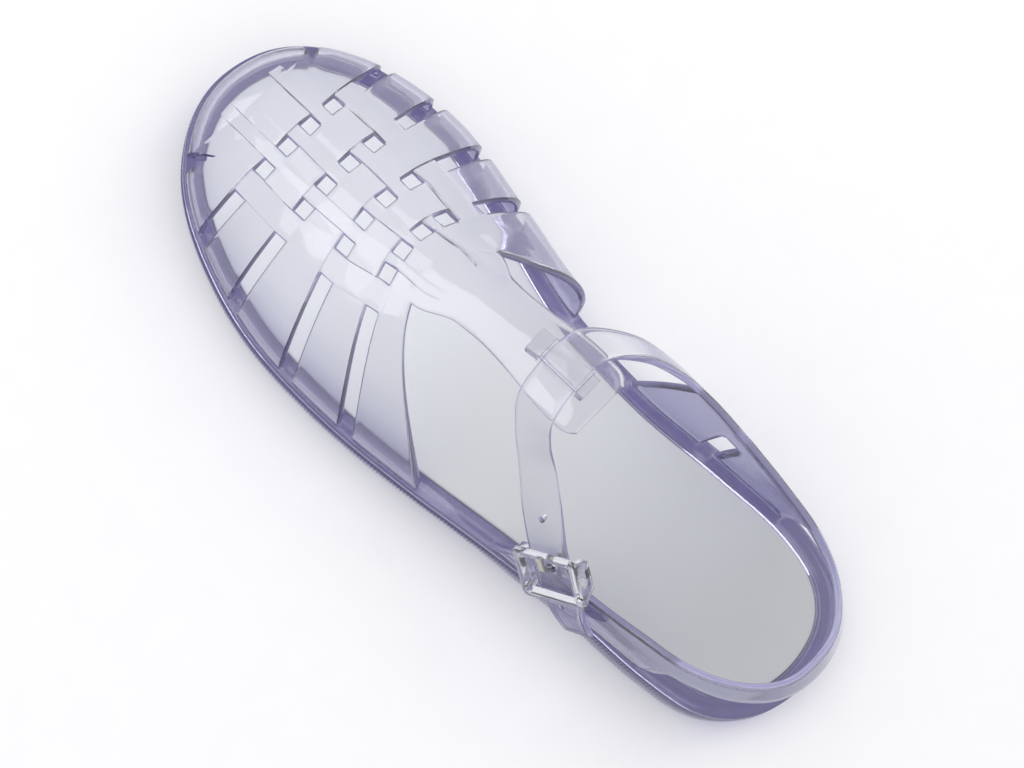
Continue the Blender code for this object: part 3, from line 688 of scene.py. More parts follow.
def link_object(name, data):
    """An object for a mesh, a lamp or a camera, placed in the scene."""
    thing = bpy.data.objects.new(name, data)
    bpy.context.scene.collection.objects.link(thing)
    return thing


def normals_of(grid):
    """The direction that the sheet faces at each point of its grid."""
    along = np.gradient(grid, axis=0)
    across = np.gradient(grid, axis=1)
    normal = np.cross(across, along)
    return normal / np.maximum(np.linalg.norm(normal, axis=2, keepdims=True), 1e-9)


def nearest(points):
    """A tree that finds the nearest of the points."""
    tree = KDTree(len(points))
    for k, point in enumerate(points):
        tree.insert(point, k)
    tree.balance()
    return tree


def mark_edges(thing, points):
    """Writes how close each vertex is to a moulded edge, from 1 on it to 0 away from it."""
    tree = nearest(points)
    close = [max(0.0, 1 - tree.find(vertex.co / MM)[2] / EDGE_FADE) for vertex in thing.data.vertices]
    attribute = thing.data.attributes.new("edge", "FLOAT", "POINT")
    attribute.data.foreach_set("value", np.array(close, np.float32))


def edge_points(grid, around, between=8):
    """Points along every open edge of the sheet, close enough together to measure the distance from it."""
    across = around[:-1, 1:-1] != around[1:, 1:-1]
    along = around[1:-1, :-1] != around[1:-1, 1:]
    points = []
    for k in range(between + 1):
        share = k / between
        points.append(grid[:, :-1][across] * (1 - share) + grid[:, 1:][across] * share)
        points.append(grid[:-1][along] * (1 - share) + grid[1:][along] * share)
    return np.concatenate(points)


def rounded_sheet(name, grid, closed, wall, turn, raised=None):
    """A closed sheet with rounded edges round a grid of points. Its two faces meet along every open edge."""
    rows, columns = grid.shape[:2]
    around = np.zeros((rows + 1, columns + 1), bool)
    around[1:-1, 1:-1] = closed
    corners = [around[:-1, :-1], around[1:, :-1], around[:-1, 1:], around[1:, 1:]]
    used = corners[0] | corners[1] | corners[2] | corners[3]
    edge = used & ~(corners[0] & corners[1] & corners[2] & corners[3])
    border = edge_points(grid, around)
    tree = nearest(border)
    normal = normals_of(grid) * turn
    points = []
    top = {}
    low = {}
    for i, j in np.argwhere(used):
        here = grid[i, j]
        if edge[i, j]:
            top[i, j] = low[i, j] = len(points)
            points.append(here)
            continue
        away = min(tree.find(here)[2] / EDGE_RADIUS, 1.0)
        thick = (1 - (1 - away) ** EDGE_POWER) ** (1 / EDGE_POWER)
        lift = 0.0 if raised is None else raised[i, j]
        top[i, j] = len(points)
        points.append(here + normal[i, j] * thick * (wall / 2 + lift))
        low[i, j] = len(points)
        points.append(here - normal[i, j] * thick * wall / 2)
    faces = []
    for i, j in np.argwhere(closed):
        ring = [(i, j), (i, j + 1), (i + 1, j + 1), (i + 1, j)]
        faces.append([top[c] for c in ring])
        faces.append([low[c] for c in ring[::-1]])
    return make(name, points, faces), border


def boolean(target, tool, operation):
    """Applies one Boolean and removes the tool."""
    bpy.context.view_layer.update()
    modifier = target.modifiers.new(operation.lower(), "BOOLEAN")
    modifier.object = tool
    modifier.operation = operation
    modifier.solver = "MANIFOLD"
    apply_modifiers(target)
    bpy.data.objects.remove(tool)


def apply_modifiers(thing):
    """Keeps what the modifiers make as the plain mesh."""
    bpy.context.view_layer.update()
    graph = bpy.context.evaluated_depsgraph_get()
    data = bpy.data.meshes.new_from_object(thing.evaluated_get(graph))
    thing.modifiers.clear()
    thing.data = data


def bevel(thing, width, angle):
    """Rounds every edge that turns by more than the angle."""
    modifier = thing.modifiers.new("soft edges", "BEVEL")
    modifier.width = width * MM
    modifier.segments = BEVEL_SEGMENTS
    modifier.limit_method = "ANGLE"
    modifier.angle_limit = math.radians(angle)
    apply_modifiers(thing)


def ring_faces(rings, steps, closed):
    """Faces between neighbouring rings of points. A closed body joins its last ring to its first."""
    faces = []
    for r in range(rings if closed else rings - 1):
        a = r * steps
        b = (r + 1) % rings * steps
        for k in range(steps):
            n = (k + 1) % steps
            faces.append([a + k, a + n, b + n, b + k])
    return faces


def loop_body(name, profile, turns, capped):
    """A body round the sole outline. The profile holds (inset, height function) rows."""
    steps = len(turns)
    points = []
    for inset, height in profile:
        x, y = outline(turns, inset)
        points += list(zip(x, y, height(y)))
    faces = ring_faces(len(profile), steps, not capped)
    if capped:
        for base in (0, (len(profile) - 1) * steps):
            for k in range(steps // 2 - 1):
                faces.append([base + k, base + k + 1, base + steps - 2 - k, base + steps - 1 - k])
    return make(name, points, faces)


def prism(name, origin, axes, profile, low, high):
    """A flat profile of (u, w) points in a turned frame, with its thickness along the second axis."""
    count = len(profile)
    points = []
    for v in (low, high):
        points += [origin + axes[0] * u + axes[1] * v + axes[2] * w for u, w in profile]
    ends = [list(range(count)), list(range(2 * count - 1, count - 1, -1))]
    return make(name, points, ends + ring_faces(2, count, False))


def hole_cutter(origin, axis, width):
    """A round cutter for a hole in the strap."""
    side = unit(np.cross(axis, [0.0, 0.0, 1.0] if abs(axis[2]) < 0.9 else [1.0, 0.0, 0.0]))
    turns = [2 * math.pi * k / HOLE_SIDES for k in range(HOLE_SIDES)]
    circle = [(width / 2 * math.cos(turn), width / 2 * math.sin(turn)) for turn in turns]
    return prism("hole", origin, (side, axis, np.cross(axis, side)), circle, -HOLE_REACH, HOLE_REACH)


# Pieces


def make_rim():
    """The rim of the upper round the footbed, with a rounded lip."""
    # Inset from the outline, height above the footbed
    section = (
        (0.3, -RIM_DROP),
        (0.0, 0.3 - RIM_DROP),
        (0.0, -0.6),
        (0.06, -0.15),
        (0.26, 0.3),
        (0.58, 0.6),
        (1.0, RIM_LIP),
        (RIM_WIDTH - 1.1, RIM_LIP),
        (RIM_WIDTH - 0.6, RIM_LIP - 0.1),
        (RIM_WIDTH - 0.25, RIM_LIP - 0.35),
        (RIM_WIDTH, RIM_LIP - 0.8),
        (RIM_WIDTH, 0.3 - RIM_DROP),
        (RIM_WIDTH - 0.3, -RIM_DROP),
    )
    turns, _ = even_turns(RIM_STEPS)
    return loop_body("upper_vinyl", [(inset, above(FOOTBED, rise)) for inset, rise in section], turns, False)


def make_keeper():
    """The loop on the middle strap that the ankle strap runs through."""
    origin, along, across, out = frame_at(KEEPER_ROW)
    under = STRAP_WALL / 2 + GAP
    top = under + KEEPER_WALL
    inside = STRAP_WIDTH / 2 + 2 * GAP
    front = inside + KEEPER_FRONT_POST
    rear = inside + KEEPER_REAR_POST
    profile = [
        (-front, -KEEPER_FRONT_FOOT),
        (-inside, -KEEPER_FRONT_FOOT),
        (-inside, under),
        (inside, under),
        (inside, -KEEPER_REAR_FOOT),
        (rear, -KEEPER_REAR_FOOT),
        (rear, top - KEEPER_CORNER),
        (rear - KEEPER_CORNER, top),
        (-inside, top),
        (-front, top - KEEPER_RAMP),
    ]
    half = KEEPER_WIDTH / 2
    keeper = prism("keeper", origin, (across, along, out), profile, -half, half)
    bevel(keeper, KEEPER_BEVEL, 30.0)
    return keeper


def pierce_strap(upper):
    """The hole that the prong stands in, and those before and after it on the strap."""
    origin, along, _, out = frame_at(BUCKLE_ROW)
    boolean(upper, hole_cutter(origin - along * PRONG_RISE, out, STRAP_HOLE), "DIFFERENCE")
    path = strap_path(HOLE_PATH_STEPS)
    centre = middle_of(path)
    reach = distances(centre)
    start = reach[BUCKLE_ROW * HOLE_PATH_STEPS] - PRONG_RISE
    for k in FREE_HOLES:
        i = int(np.argmin(abs(reach - start - k * STRAP_HOLE_PITCH)))
        out = unit(np.cross(centre[i + 1] - centre[i - 1], path[i][3:6] - path[i][:3]))
        boolean(upper, hole_cutter(centre[i], out, FREE_HOLE), "DIFFERENCE")


def make_upper():
    """Rim, vamp, straps and keeper in one piece, as they are moulded."""
    upper = make_rim()
    grid, closed, raised = vamp_grid()
    vamp, vamp_edge = rounded_sheet("vamp", grid, closed, STRAP_WALL, -1, raised)
    boolean(vamp, notch_cutter(-1, OUTER_NOTCH), "DIFFERENCE")
    boolean(vamp, notch_cutter(1, INNER_NOTCH), "DIFFERENCE")
    boolean(upper, vamp, "UNION")
    grid, closed = strap_grid()
    strap, strap_edge = rounded_sheet("strap", grid, closed, STRAP_WALL, 1)
    boolean(upper, strap, "UNION")
    boolean(upper, make_keeper(), "UNION")
    pierce_strap(upper)
    mark_edges(upper, np.concatenate([vamp_edge, strap_edge]))
    return upper


def make_outsole():
    """The sole with its ribbed wall, its rounded lower edge and its tread."""

    def top(y):
        return sole_height(y, FOOTBED) - RIM_DROP - GAP

    def between(share):
        return lambda y: (top(y) - RIB_TOP) * share + (sole_height(y, UNDERSIDE) + RIB_FOOT) * (1 - share)

    # Inset from the outline, height and share of the ribs' depth, from the top down
    section = [
        (RIM_WIDTH / 2, top, 0.0),
        (0.7, top, 0.0),
        (0.25, lambda y: top(y) - 0.18, 0.0),
        (0.0, lambda y: top(y) - 0.6, 0.0),
        (0.0, between(1.0), 0.0),
        (0.0, between(0.95), 1.0),
        (0.0, between(0.5), 1.0),
        (0.0, between(0.05), 1.0),
        (0.0, between(0.0), 0.0),
        (0.25, above(UNDERSIDE, 1.5), 0.0),
        (0.9, above(UNDERSIDE, 0.7), 0.0),
        (1.8, above(UNDERSIDE, 0.18), 0.0),
        (2.6, above(UNDERSIDE, 0.0), 0.0),
    ]
    around = even_turns(1)[1]
    count = int(round(around / RIB_PITCH)) * RIB_NODES
    turns, _ = even_turns(count)
    sole = loop_body("outsole_vinyl", [row[:2] for row in section], turns, True)
    ribs = np.abs(np.sin(math.pi * (np.arange(count) % RIB_NODES) / RIB_NODES))
    depth = np.concatenate([ribs * row[2] for row in section])
    attribute = sole.data.attributes.new("rib", "FLOAT", "POINT")
    attribute.data.foreach_set("value", depth.astype(np.float32))
    grow_ribs(sole)
    for start, rows in GROOVE_ROWS:
        boolean(sole, groove_cutter(start, rows), "DIFFERENCE")
    return sole


def make_insole():
    """The footbed, a thin board inside the rim with a soft upper edge."""
    # Inset from the rim's clearance, height above the footbed
    section = ((1.4, 0.0), (0.6, -0.05), (0.2, -0.22), (0.0, -0.6), (0.0, 0.3 - RIM_DROP), (0.3, -RIM_DROP))
    profile = [(RIM_WIDTH + GAP + inset, above(FOOTBED, rise)) for inset, rise in section]
    turns, _ = even_turns(RIM_STEPS)
    return loop_body("insole_board", profile, turns, True)


def make_ring(name, origin, axes, half_u, half_v, section):
    """A moulded ring round a rounded rectangle. The section holds (inset, height) rows."""
    points = []
    for inset, w in section:
        radius = max(RING_CORNER - inset, RING_LEAST_CORNER)
        for k, (sign_u, sign_v) in enumerate(((1, 1), (-1, 1), (-1, -1), (1, -1))):
            for i in range(CORNER_STEPS + 1):
                angle = math.pi / 2 * (k + i / CORNER_STEPS)
                u = sign_u * (half_u - inset - radius) + radius * math.cos(angle)
                v = sign_v * (half_v - inset - radius) + radius * math.sin(angle)
                points.append(origin + axes[0] * u + axes[1] * v + axes[2] * w)
    return make(name, points, ring_faces(len(section), 4 * (CORNER_STEPS + 1), True))


def make_buckle_frame():
    """A ring over the strap with two side walls down to the centre bar, which runs under the strap."""
    origin, along, across, out = frame_at(BUCKLE_ROW)
    axes = (along, across, out)
    clear = STRAP_WALL / 2 + BUCKLE_SLACK
    top = clear + END_BAR_THICK
    low = -clear - CENTRE_BAR_THICK
    half = BUCKLE_WIDTH / 2
    end = BUCKLE_LENGTH / 2
    # Inset from the ring's outside, height above the middle of the strap
    section = [
        (0.0, clear + 0.3),
        (0.0, top - 0.8),
        (0.12, top - 0.4),
        (0.5, top - 0.08),
        (1.0, top),
        (BUCKLE_BAR - 1.4, top),
        (BUCKLE_BAR - 1.1, top - 0.12),
        (BUCKLE_BAR - 0.2, top - 0.9),
        (BUCKLE_BAR, top - 1.1),
        (BUCKLE_BAR, clear),
        (0.3, clear),
    ]
    buckle = make_ring("buckle_clear", origin, axes, end, half, section)
    wall_top = (end - SIDE_END, clear + SIDE_OVERLAP)
    wall_foot = (SIDE_TAPER * end, low)
    profile = [(-wall_top[0], wall_top[1]), (-wall_foot[0], low), wall_foot, wall_top]
    near = half - BUCKLE_BAR + SIDE_INSET
    far = half - SIDE_INSET
    for low_v, high_v in ((near, far), (-far, -near)):
        side = prism("side", origin, axes, profile, low_v, high_v)
        bevel(side, SIDE_BEVEL, 25.0)
        boolean(buckle, side, "UNION")
    wide = CENTRE_BAR / 2
    reach = half - SIDE_END
    bar = [(-wide, low + 0.1), (wide, low + 0.1), (wide, -clear), (-wide, -clear)]
    boolean(buckle, prism("bar", origin, axes, bar, -reach, reach), "UNION")
    return buckle


def make_buckle_prong():
    """A bent steel strip hooked under the centre bar, up through the strap and onto the end bar."""
    origin, along, across, out = frame_at(BUCKLE_ROW)
    clear = STRAP_WALL / 2 + BUCKLE_SLACK
    half = PRONG_THICK / 2
    away = GAP + half
    side = CENTRE_BAR / 2 + away
    under = clear + CENTRE_BAR_THICK + away
    over_bar = clear + END_BAR_THICK + away
    # Distance along the strap from the buckle's middle, height above the middle of the strap
    path = np.array(
        [
            (side, -clear - 0.5),
            (side, -under),
            (-side, -under),
            (-side, -clear),
            (-side - 0.6, clear),
            (-side - 2.6, over_bar),
            (-BUCKLE_LENGTH / 2 - 0.4, over_bar),
        ]
    )
    left = []
    right = []
    for i, point in enumerate(path):
        before = path[max(i - 1, 0)]
        after = path[min(i + 1, len(path) - 1)]
        a = unit(point - before if i else after - point)
        b = unit(after - point) if i < len(path) - 1 else a
        normal = unit(np.array([-(a + b)[1], (a + b)[0]]))
        stretch = half / max(np.dot(normal, [-a[1], a[0]]), 0.5)
        left.append(point + normal * stretch)
        right.append(point - normal * stretch)
    wide = PRONG_WIDE / 2
    prong = prism("prong_steel", origin, (along, across, out), left + right[::-1], -wide, wide)
    bevel(prong, PRONG_BEVEL, 20.0)
    return prong


# Geometry Nodes


def new_tree(name, sizes):
    """An empty geometry tree with its mesh sockets and one named float input for each size."""
    tree = bpy.data.node_groups.new(name, "GeometryNodeTree")
    tree.interface.new_socket("Mesh", in_out="INPUT", socket_type="NodeSocketGeometry")
    tree.interface.new_socket("Material", in_out="INPUT", socket_type="NodeSocketMaterial")
    for size in sizes:
        tree.interface.new_socket(size, in_out="INPUT", socket_type="NodeSocketFloat")
    tree.interface.new_socket("Mesh", in_out="OUTPUT", socket_type="NodeSocketGeometry")
    return tree


def add(tree, kind, settings=None, links=None, values=None):
    """Adds a node with its settings, the sockets that feed its inputs, and plain values for the others."""
    node = tree.nodes.new(kind)
    for key, value in (settings or {}).items():
        setattr(node, key, value)
    for key, socket in (links or {}).items():
        tree.links.new(socket, node.inputs[key])
    for key, value in (values or {}).items():
        node.inputs[key].default_value = value
    return node


def run_tree(thing, tree, values):
    """Runs the tree on the object and keeps the result as its plain mesh."""
    modifier = thing.modifiers.new(tree.name, "NODES")
    modifier.node_group = tree
    for item in tree.interface.items_tree:
        if item.item_type == "SOCKET" and item.in_out == "INPUT" and item.name in values:
            modifier[item.identifier] = values[item.name]
    apply_modifiers(thing)


def grow_ribs(sole):
    """Moves the wall of the sole out along its normal where the rib attribute says so."""
    tree = new_tree("side ribs", ["Depth"])
    source = add(tree, "NodeGroupInput")
    rib = add(tree, "GeometryNodeInputNamedAttribute", {"data_type": "FLOAT"}, values={"Name": "rib"})
    depth = {0: rib.outputs["Attribute"], 1: source.outputs["Depth"]}
    amount = add(tree, "ShaderNodeMath", {"operation": "MULTIPLY"}, depth)
    normal = add(tree, "GeometryNodeInputNormal")
    level = {"operation": "MULTIPLY"}
    flat = add(tree, "ShaderNodeVectorMath", level, {0: normal.outputs[0]}, {1: (1.0, 1.0, 0.0)})
    push = {0: flat.outputs[0], "Scale": amount.outputs[0]}
    move = add(tree, "ShaderNodeVectorMath", {"operation": "SCALE"}, push)
    shift = {"Geometry": source.outputs["Mesh"], "Offset": move.outputs[0]}
    moved = add(tree, "GeometryNodeSetPosition", links=shift)
    real = add(tree, "GeometryNodeRealizeInstances", links={"Geometry": moved.outputs[0]})
    finish = {"Geometry": real.outputs[0], "Material": source.outputs["Material"]}
    done = add(tree, "GeometryNodeSetMaterial", links=finish)
    add(tree, "NodeGroupOutput", links={"Mesh": done.outputs[0]})
    run_tree(sole, tree, {"Depth": RIB_DEPTH * MM, "Material": None})


def groove_cutter(start, rows):
    """A row of cross bars to cut the tread with, each as wide as the sole leaves room for."""
    cutters = bmesh.new()
    for i in range(rows):
        y = start + i * GROOVE_PITCH
        left = float(outline(edge_turn(y, -1, GROOVE_MARGIN), GROOVE_MARGIN)[0])
        right = float(outline(edge_turn(y, 1, GROOVE_MARGIN), GROOVE_MARGIN)[0])
        place = Matrix.Translation(Vector(((left + right) / 2, y, 0.0)) * MM)
        size = Matrix.Diagonal((*(Vector((right - left, GROOVE_WIDTH, 2 * GROOVE_DEPTH)) * MM), 1.0))
        bmesh.ops.create_cube(cutters, size=1.0, matrix=place @ size)
    data = bpy.data.meshes.new("grooves")
    cutters.to_mesh(data)
    cutters.free()
    return link_object("grooves", data)


# Clear plastics. Loss is the red, green and blue light that a metre takes, as powers of e. Tints are for
# flat and for steep faces; the darker steep tint is painted shade. Haze is the share of light that the
# surface scatters, and edge haze the share at moulded edges, where it goes with the painted edge shade.
# Grain is the size of the faint orange peel, in millimetres.
PLASTIC_IOR = 1.45
# Painted shade: the deeper lilac laid on the moulded edges of the vinyl.
EDGE_SHADE_TINT = "#A4A0D0"

# Upper: soft PVC, injection moulded in a polished mould. It is glossy and clear with a faint lilac tint.
# The deeper lilac at its edges and on its steep faces is painted shade.
UPPER_VINYL = {
    "loss": (25.0, 25.0, 17.0),
    "tints_and_slope_shade": ("#F8F8FA", "#B4B3D0"),
    "haze": 0.05,
    "edge_shade_haze": 0.55,
    "roughness": 0.05,
    "grain": 1.6,
}

# Sole: the same PVC, many times thicker, so the tint deepens to violet and the wall looks milky. The darker
# violet on its steep faces is painted shade.
SOLE_VINYL = {
    "loss": (55.0, 60.0, 24.0),
    "tints_and_slope_shade": ("#7067AC", "#564C98"),
    "haze": 0.45,
    "edge_shade_haze": 0.45,
    "roughness": 0.06,
    "grain": 1.6,
}

# Buckle: moulded acrylic, hard and nearly colourless, with sharper highlights than the vinyl. Its greyer
# steep tint is painted shade.
ACRYLIC = {
    "loss": (12.0, 12.0, 9.0),
    "tints_and_slope_shade": ("#F8F8FA", "#E4E4EE"),
    "haze": 0.04,
    "edge_shade_haze": 0.0,
    "roughness": 0.04,
    "grain": 2.5,
}
CLOUD_SIZE = 9.0
GLOSS_SPREAD = (0.6, 1.5)
GRAIN_DEPTH = 0.05
STEEP_TO_FLAT = (0.2, 0.8)
LOSS_ROOM = 1.25

# Insole, prong and paper: tints, and sizes in millimetres
# Insole tints, dark end first: the grey at the heel end is painted shade, and the cloud varies the tone a
# little.
INSOLE_TONE_AND_SHADE = ("#B6B8BA", "#DADCDF")
# Span along the length, heel to toe, over which painted shade greys the insole.
INSOLE_HEEL_SHADE = (-90.0, 60.0)
INSOLE_GRAIN = 0.7
INSOLE_GRAIN_DEPTH = 0.08
INSOLE_CLOUD = 38.0
STEEL_TINT = "#B9B7B0"
DRAWN_LINE = 0.6
PAPER_TINTS = ("#F6F6F7", "#F9F9FA")


def linear(code):
    """The linear colour of an sRGB hex value, with an alpha of 1."""
    shares = [int(code[k : k + 2], 16) / 255 for k in (1, 3, 5)]
    return (*(s / 12.92 if s <= 0.04045 else ((s + 0.055) / 1.055) ** 2.4 for s in shares), 1.0)


def new_material(name):
    """An empty material, its tree and the object coordinates that its patterns are drawn on."""
    material = bpy.data.materials.new(name)
    material.use_nodes = True
    tree = material.node_tree
    tree.nodes.clear()
    return material, tree, add(tree, "ShaderNodeTexCoord").outputs["Object"]


def clear_plastic(name, loss, tints_and_slope_shade, haze, edge_shade_haze, roughness, grain):
    """Clear plastic that takes a tint from its thickness. Its base colour also carries painted shade: a
    darker tint on steep faces and a deeper lilac at moulded edges. Lamps shine through it, so what lies
    under it stays light. The comment above the tables says what each value means."""
    material, tree, place = new_material(name)
    detail = {"Scale": 1 / (grain * MM), "Detail": 3.0, "Roughness": 0.55}
    fine = add(tree, "ShaderNodeTexNoise", links={"Vector": place}, values=detail)
    cloud = {"Scale": 1 / (CLOUD_SIZE * MM), "Detail": 2.0}
    wide = add(tree, "ShaderNodeTexNoise", links={"Vector": place}, values=cloud)
    spread = {"To Min": GLOSS_SPREAD[0] * roughness, "To Max": GLOSS_SPREAD[1] * roughness}
    spread.update({"From Min": 0.3, "From Max": 0.7})
    gloss = add(tree, "ShaderNodeMapRange", links={"Value": wide.outputs["Fac"]}, values=spread)
    dents = {"Strength": 0.06, "Distance": GRAIN_DEPTH * MM}
    bump = add(tree, "ShaderNodeBump", links={"Height": fine.outputs["Fac"]}, values=dents)
    edge = add(tree, "ShaderNodeAttribute", {"attribute_name": "edge"}).outputs["Fac"]
    shape = add(tree, "ShaderNodeNewGeometry")
    facing = add(tree, "ShaderNodeSeparateXYZ", links={"Vector": shape.outputs["Normal"]})
    upright = add(tree, "ShaderNodeMath", {"operation": "ABSOLUTE"}, {0: facing.outputs["Z"]})
    # Painted shade: steep faces take the darker tint, flat faces the lighter one.
    slope_shade_span = {"From Min": STEEP_TO_FLAT[0], "From Max": STEEP_TO_FLAT[1]}
    step = {"interpolation_type": "SMOOTHSTEP"}
    flat = add(tree, "ShaderNodeMapRange", step, {"Value": upright.outputs[0]}, slope_shade_span)
    # Painted shade: near moulded edges more of the surface is matt haze, and its colour turns to the lilac
    # edge tint.
    haze_and_edge_shade = {"To Min": 1 - haze, "To Max": 1 - edge_shade_haze}
    clear = add(tree, "ShaderNodeMapRange", links={"Value": edge}, values=haze_and_edge_shade)
    tint = add(tree, "ShaderNodeValToRGB", links={"Fac": flat.outputs["Result"]})
    tint.color_ramp.elements[0].color = linear(tints_and_slope_shade[1])
    tint.color_ramp.elements[1].color = linear(tints_and_slope_shade[0])
    colour = {"data_type": "RGBA"}
    tone = add(tree, "ShaderNodeMix", colour, {0: edge, 6: tint.outputs["Color"]}, {7: linear(EDGE_SHADE_TINT)})
    finish = {
        "Base Color": tone.outputs[2],
        "Roughness": gloss.outputs["Result"],
        "Normal": bump.outputs["Normal"],
        "Transmission Weight": clear.outputs["Result"],
    }
    body = add(tree, "ShaderNodeBsdfPrincipled", links=finish, values={"IOR": PLASTIC_IOR})
    light = add(tree, "ShaderNodeLightPath")
    through = add(tree, "ShaderNodeBsdfTransparent")
    ways = {0: light.outputs["Is Shadow Ray"], 1: body.outputs[0], 2: through.outputs[0]}
    mix = add(tree, "ShaderNodeMixShader", links=ways)
    most = max(loss) * LOSS_ROOM
    take = {"Color": (*(1 - share / most for share in loss), 1.0), "Density": most}
    depth = add(tree, "ShaderNodeVolumeAbsorption", values=take)
    add(tree, "ShaderNodeOutputMaterial", links={"Surface": mix.outputs[0], "Volume": depth.outputs[0]})
    return material


def insole_paint():
    """Printed white PVC sock lining: matt, with a fine leather-like grain and faint cloudy tone. It is
    a little greyer towards the heel, as in the photograph; that greying is painted shade."""
    material, tree, place = new_material("matt white pvc sock lining")
    detail = {"Scale": 1 / (INSOLE_GRAIN * MM), "Detail": 4.0, "Roughness": 0.6}
    grain = add(tree, "ShaderNodeTexNoise", links={"Vector": place}, values=detail)
    patches = {"Scale": 1 / (INSOLE_CLOUD * MM), "Detail": 2.0}
    cloud = add(tree, "ShaderNodeTexNoise", links={"Vector": place}, values=patches)
    # Painted shade: the tone greys from the toe towards the heel.
    apart = add(tree, "ShaderNodeSeparateXYZ", links={"Vector": place})
    heel_shade_span = {"From Min": INSOLE_HEEL_SHADE[0] * MM, "From Max": INSOLE_HEEL_SHADE[1] * MM, "To Min": 0.0, "To Max": 0.9}
    length = add(tree, "ShaderNodeMapRange", links={"Value": apart.outputs["Y"]}, values=heel_shade_span)
    parts = {0: cloud.outputs["Fac"], 2: length.outputs["Result"]}
    cloud_and_heel_shade = add(tree, "ShaderNodeMath", {"operation": "MULTIPLY_ADD"}, parts, {1: 0.12})
    tone = add(tree, "ShaderNodeValToRGB", links={"Fac": cloud_and_heel_shade.outputs[0]})
    tone.color_ramp.elements[0].color = linear(INSOLE_TONE_AND_SHADE[0])
    tone.color_ramp.elements[1].color = linear(INSOLE_TONE_AND_SHADE[1])
    spread = {"To Min": 0.5, "To Max": 0.7}
    matt = add(tree, "ShaderNodeMapRange", links={"Value": grain.outputs["Fac"]}, values=spread)
    dents = {"Strength": 0.25, "Distance": INSOLE_GRAIN_DEPTH * MM}
    bump = add(tree, "ShaderNodeBump", links={"Height": grain.outputs["Fac"]}, values=dents)
    finish = {
        "Base Color": tone.outputs["Color"],
        "Roughness": matt.outputs["Result"],
        "Normal": bump.outputs["Normal"],
    }
    body = add(tree, "ShaderNodeBsdfPrincipled", links=finish, values={"IOR": 1.5})
    add(tree, "ShaderNodeOutputMaterial", links={"Surface": body.outputs[0]})
    return material


def steel():
    """Nickelled spring steel strip: drawn and tumbled, so it is bright with soft lines along it."""
    material, tree, place = new_material("tumbled nickelled steel")
    drawn = {"Scale": (1.0, 1.0, 6.0)}
    stretch = add(tree, "ShaderNodeMapping", links={"Vector": place}, values=drawn)
    marks = {"Scale": 1 / (DRAWN_LINE * MM), "Detail": 2.0}
    lines = add(tree, "ShaderNodeTexNoise", links={"Vector": stretch.outputs["Vector"]}, values=marks)
    spread = {"To Min": 0.16, "To Max": 0.34}
    rough = add(tree, "ShaderNodeMapRange", links={"Value": lines.outputs["Fac"]}, values=spread)
    metal = {"Base Color": linear(STEEL_TINT), "Metallic": 1.0}
    body = add(tree, "ShaderNodeBsdfPrincipled", links={"Roughness": rough.outputs["Result"]}, values=metal)
    add(tree, "ShaderNodeOutputMaterial", links={"Surface": body.outputs[0]})
    return material


def floor_paint():
    """Studio paper: uncoated, so it is matt, and almost even in tone."""
    material, tree, place = new_material("matt studio paper")
    mottle = {"Scale": 90.0, "Detail": 2.0}
    grain = add(tree, "ShaderNodeTexNoise", links={"Vector": place}, values=mottle)
    tone = add(tree, "ShaderNodeValToRGB", links={"Fac": grain.outputs["Fac"]})
    tone.color_ramp.elements[0].color = linear(PAPER_TINTS[0])
    tone.color_ramp.elements[1].color = linear(PAPER_TINTS[1])
    matt = {"Roughness": 0.9, "Specular IOR Level": 0.1}
    body = add(tree, "ShaderNodeBsdfPrincipled", links={"Base Color": tone.outputs["Color"]}, values=matt)
    add(tree, "ShaderNodeOutputMaterial", links={"Surface": body.outputs[0]})
    return material


# Camera: its place in millimetres and its axes. The frame move is how far the middle of the frame is moved
# from the photograph's line of sight, as shares of the frame's width.
CAMERA_PLACE = (-149.3, 3.6, 797.6)
CAMERA_RIGHT = (0.693, -0.7045, 0.1528)
CAMERA_UP = (0.6964, 0.709, 0.111)
LENS = 98.0
SENSOR = 36.0
FRAME_MOVE = (-0.040, 0.053)

# Lamps: name, place and aim in metres, width and length in metres, watts
LAMPS = (
    ("top", (-0.25, 0.45, 1.1), (0.0, 0.0, 0.0), (0.9, 0.9), 5.5),
    ("side", (0.9, -0.2, 0.7), (0.0, 0.0, 0.02), (0.5, 0.9), 3.3),
)
WORLD_COLOUR = (0.99, 0.99, 1.0, 1.0)
WORLD_STRENGTH = 0.66
FLOOR_REACH = 6.0
LIGHT_BOUNCES = 24


def make_camera():
    """The camera at the photograph's place, turned to the shoe and rolled as the photograph is."""
    data = bpy.data.cameras.new("camera")
    data.sensor_width = SENSOR
    data.lens = LENS
    data.clip_start = 0.01
    right = Vector(CAMERA_RIGHT).normalized()
    up = Vector(CAMERA_UP)
    up = (up - right * up.dot(right)).normalized()
    back = right.cross(up)
    back -= (right * FRAME_MOVE[0] + up * FRAME_MOVE[1]) * data.sensor_width / LENS
    back.normalize()
    right = (right - back * right.dot(back)).normalized()
    turn = Matrix((right, back.cross(right), back)).transposed()
    camera = link_object("camera", data)
    camera.matrix_world = Matrix.Translation(Vector(CAMERA_PLACE) * MM) @ turn.to_4x4()
    bpy.context.scene.camera = camera


def soft_box(name, place, aim, size, power):
    """A rectangular lamp at a place, turned to its aim."""
    data = bpy.data.lights.new(name, "AREA")
    data.shape = "RECTANGLE"
    data.size = size[0]
    data.size_y = size[1]
    data.energy = power
    lamp = link_object(name, data)
    lamp.location = place
    lamp.rotation_euler = (Vector(aim) - Vector(place)).to_track_quat("-Z", "Y").to_euler()


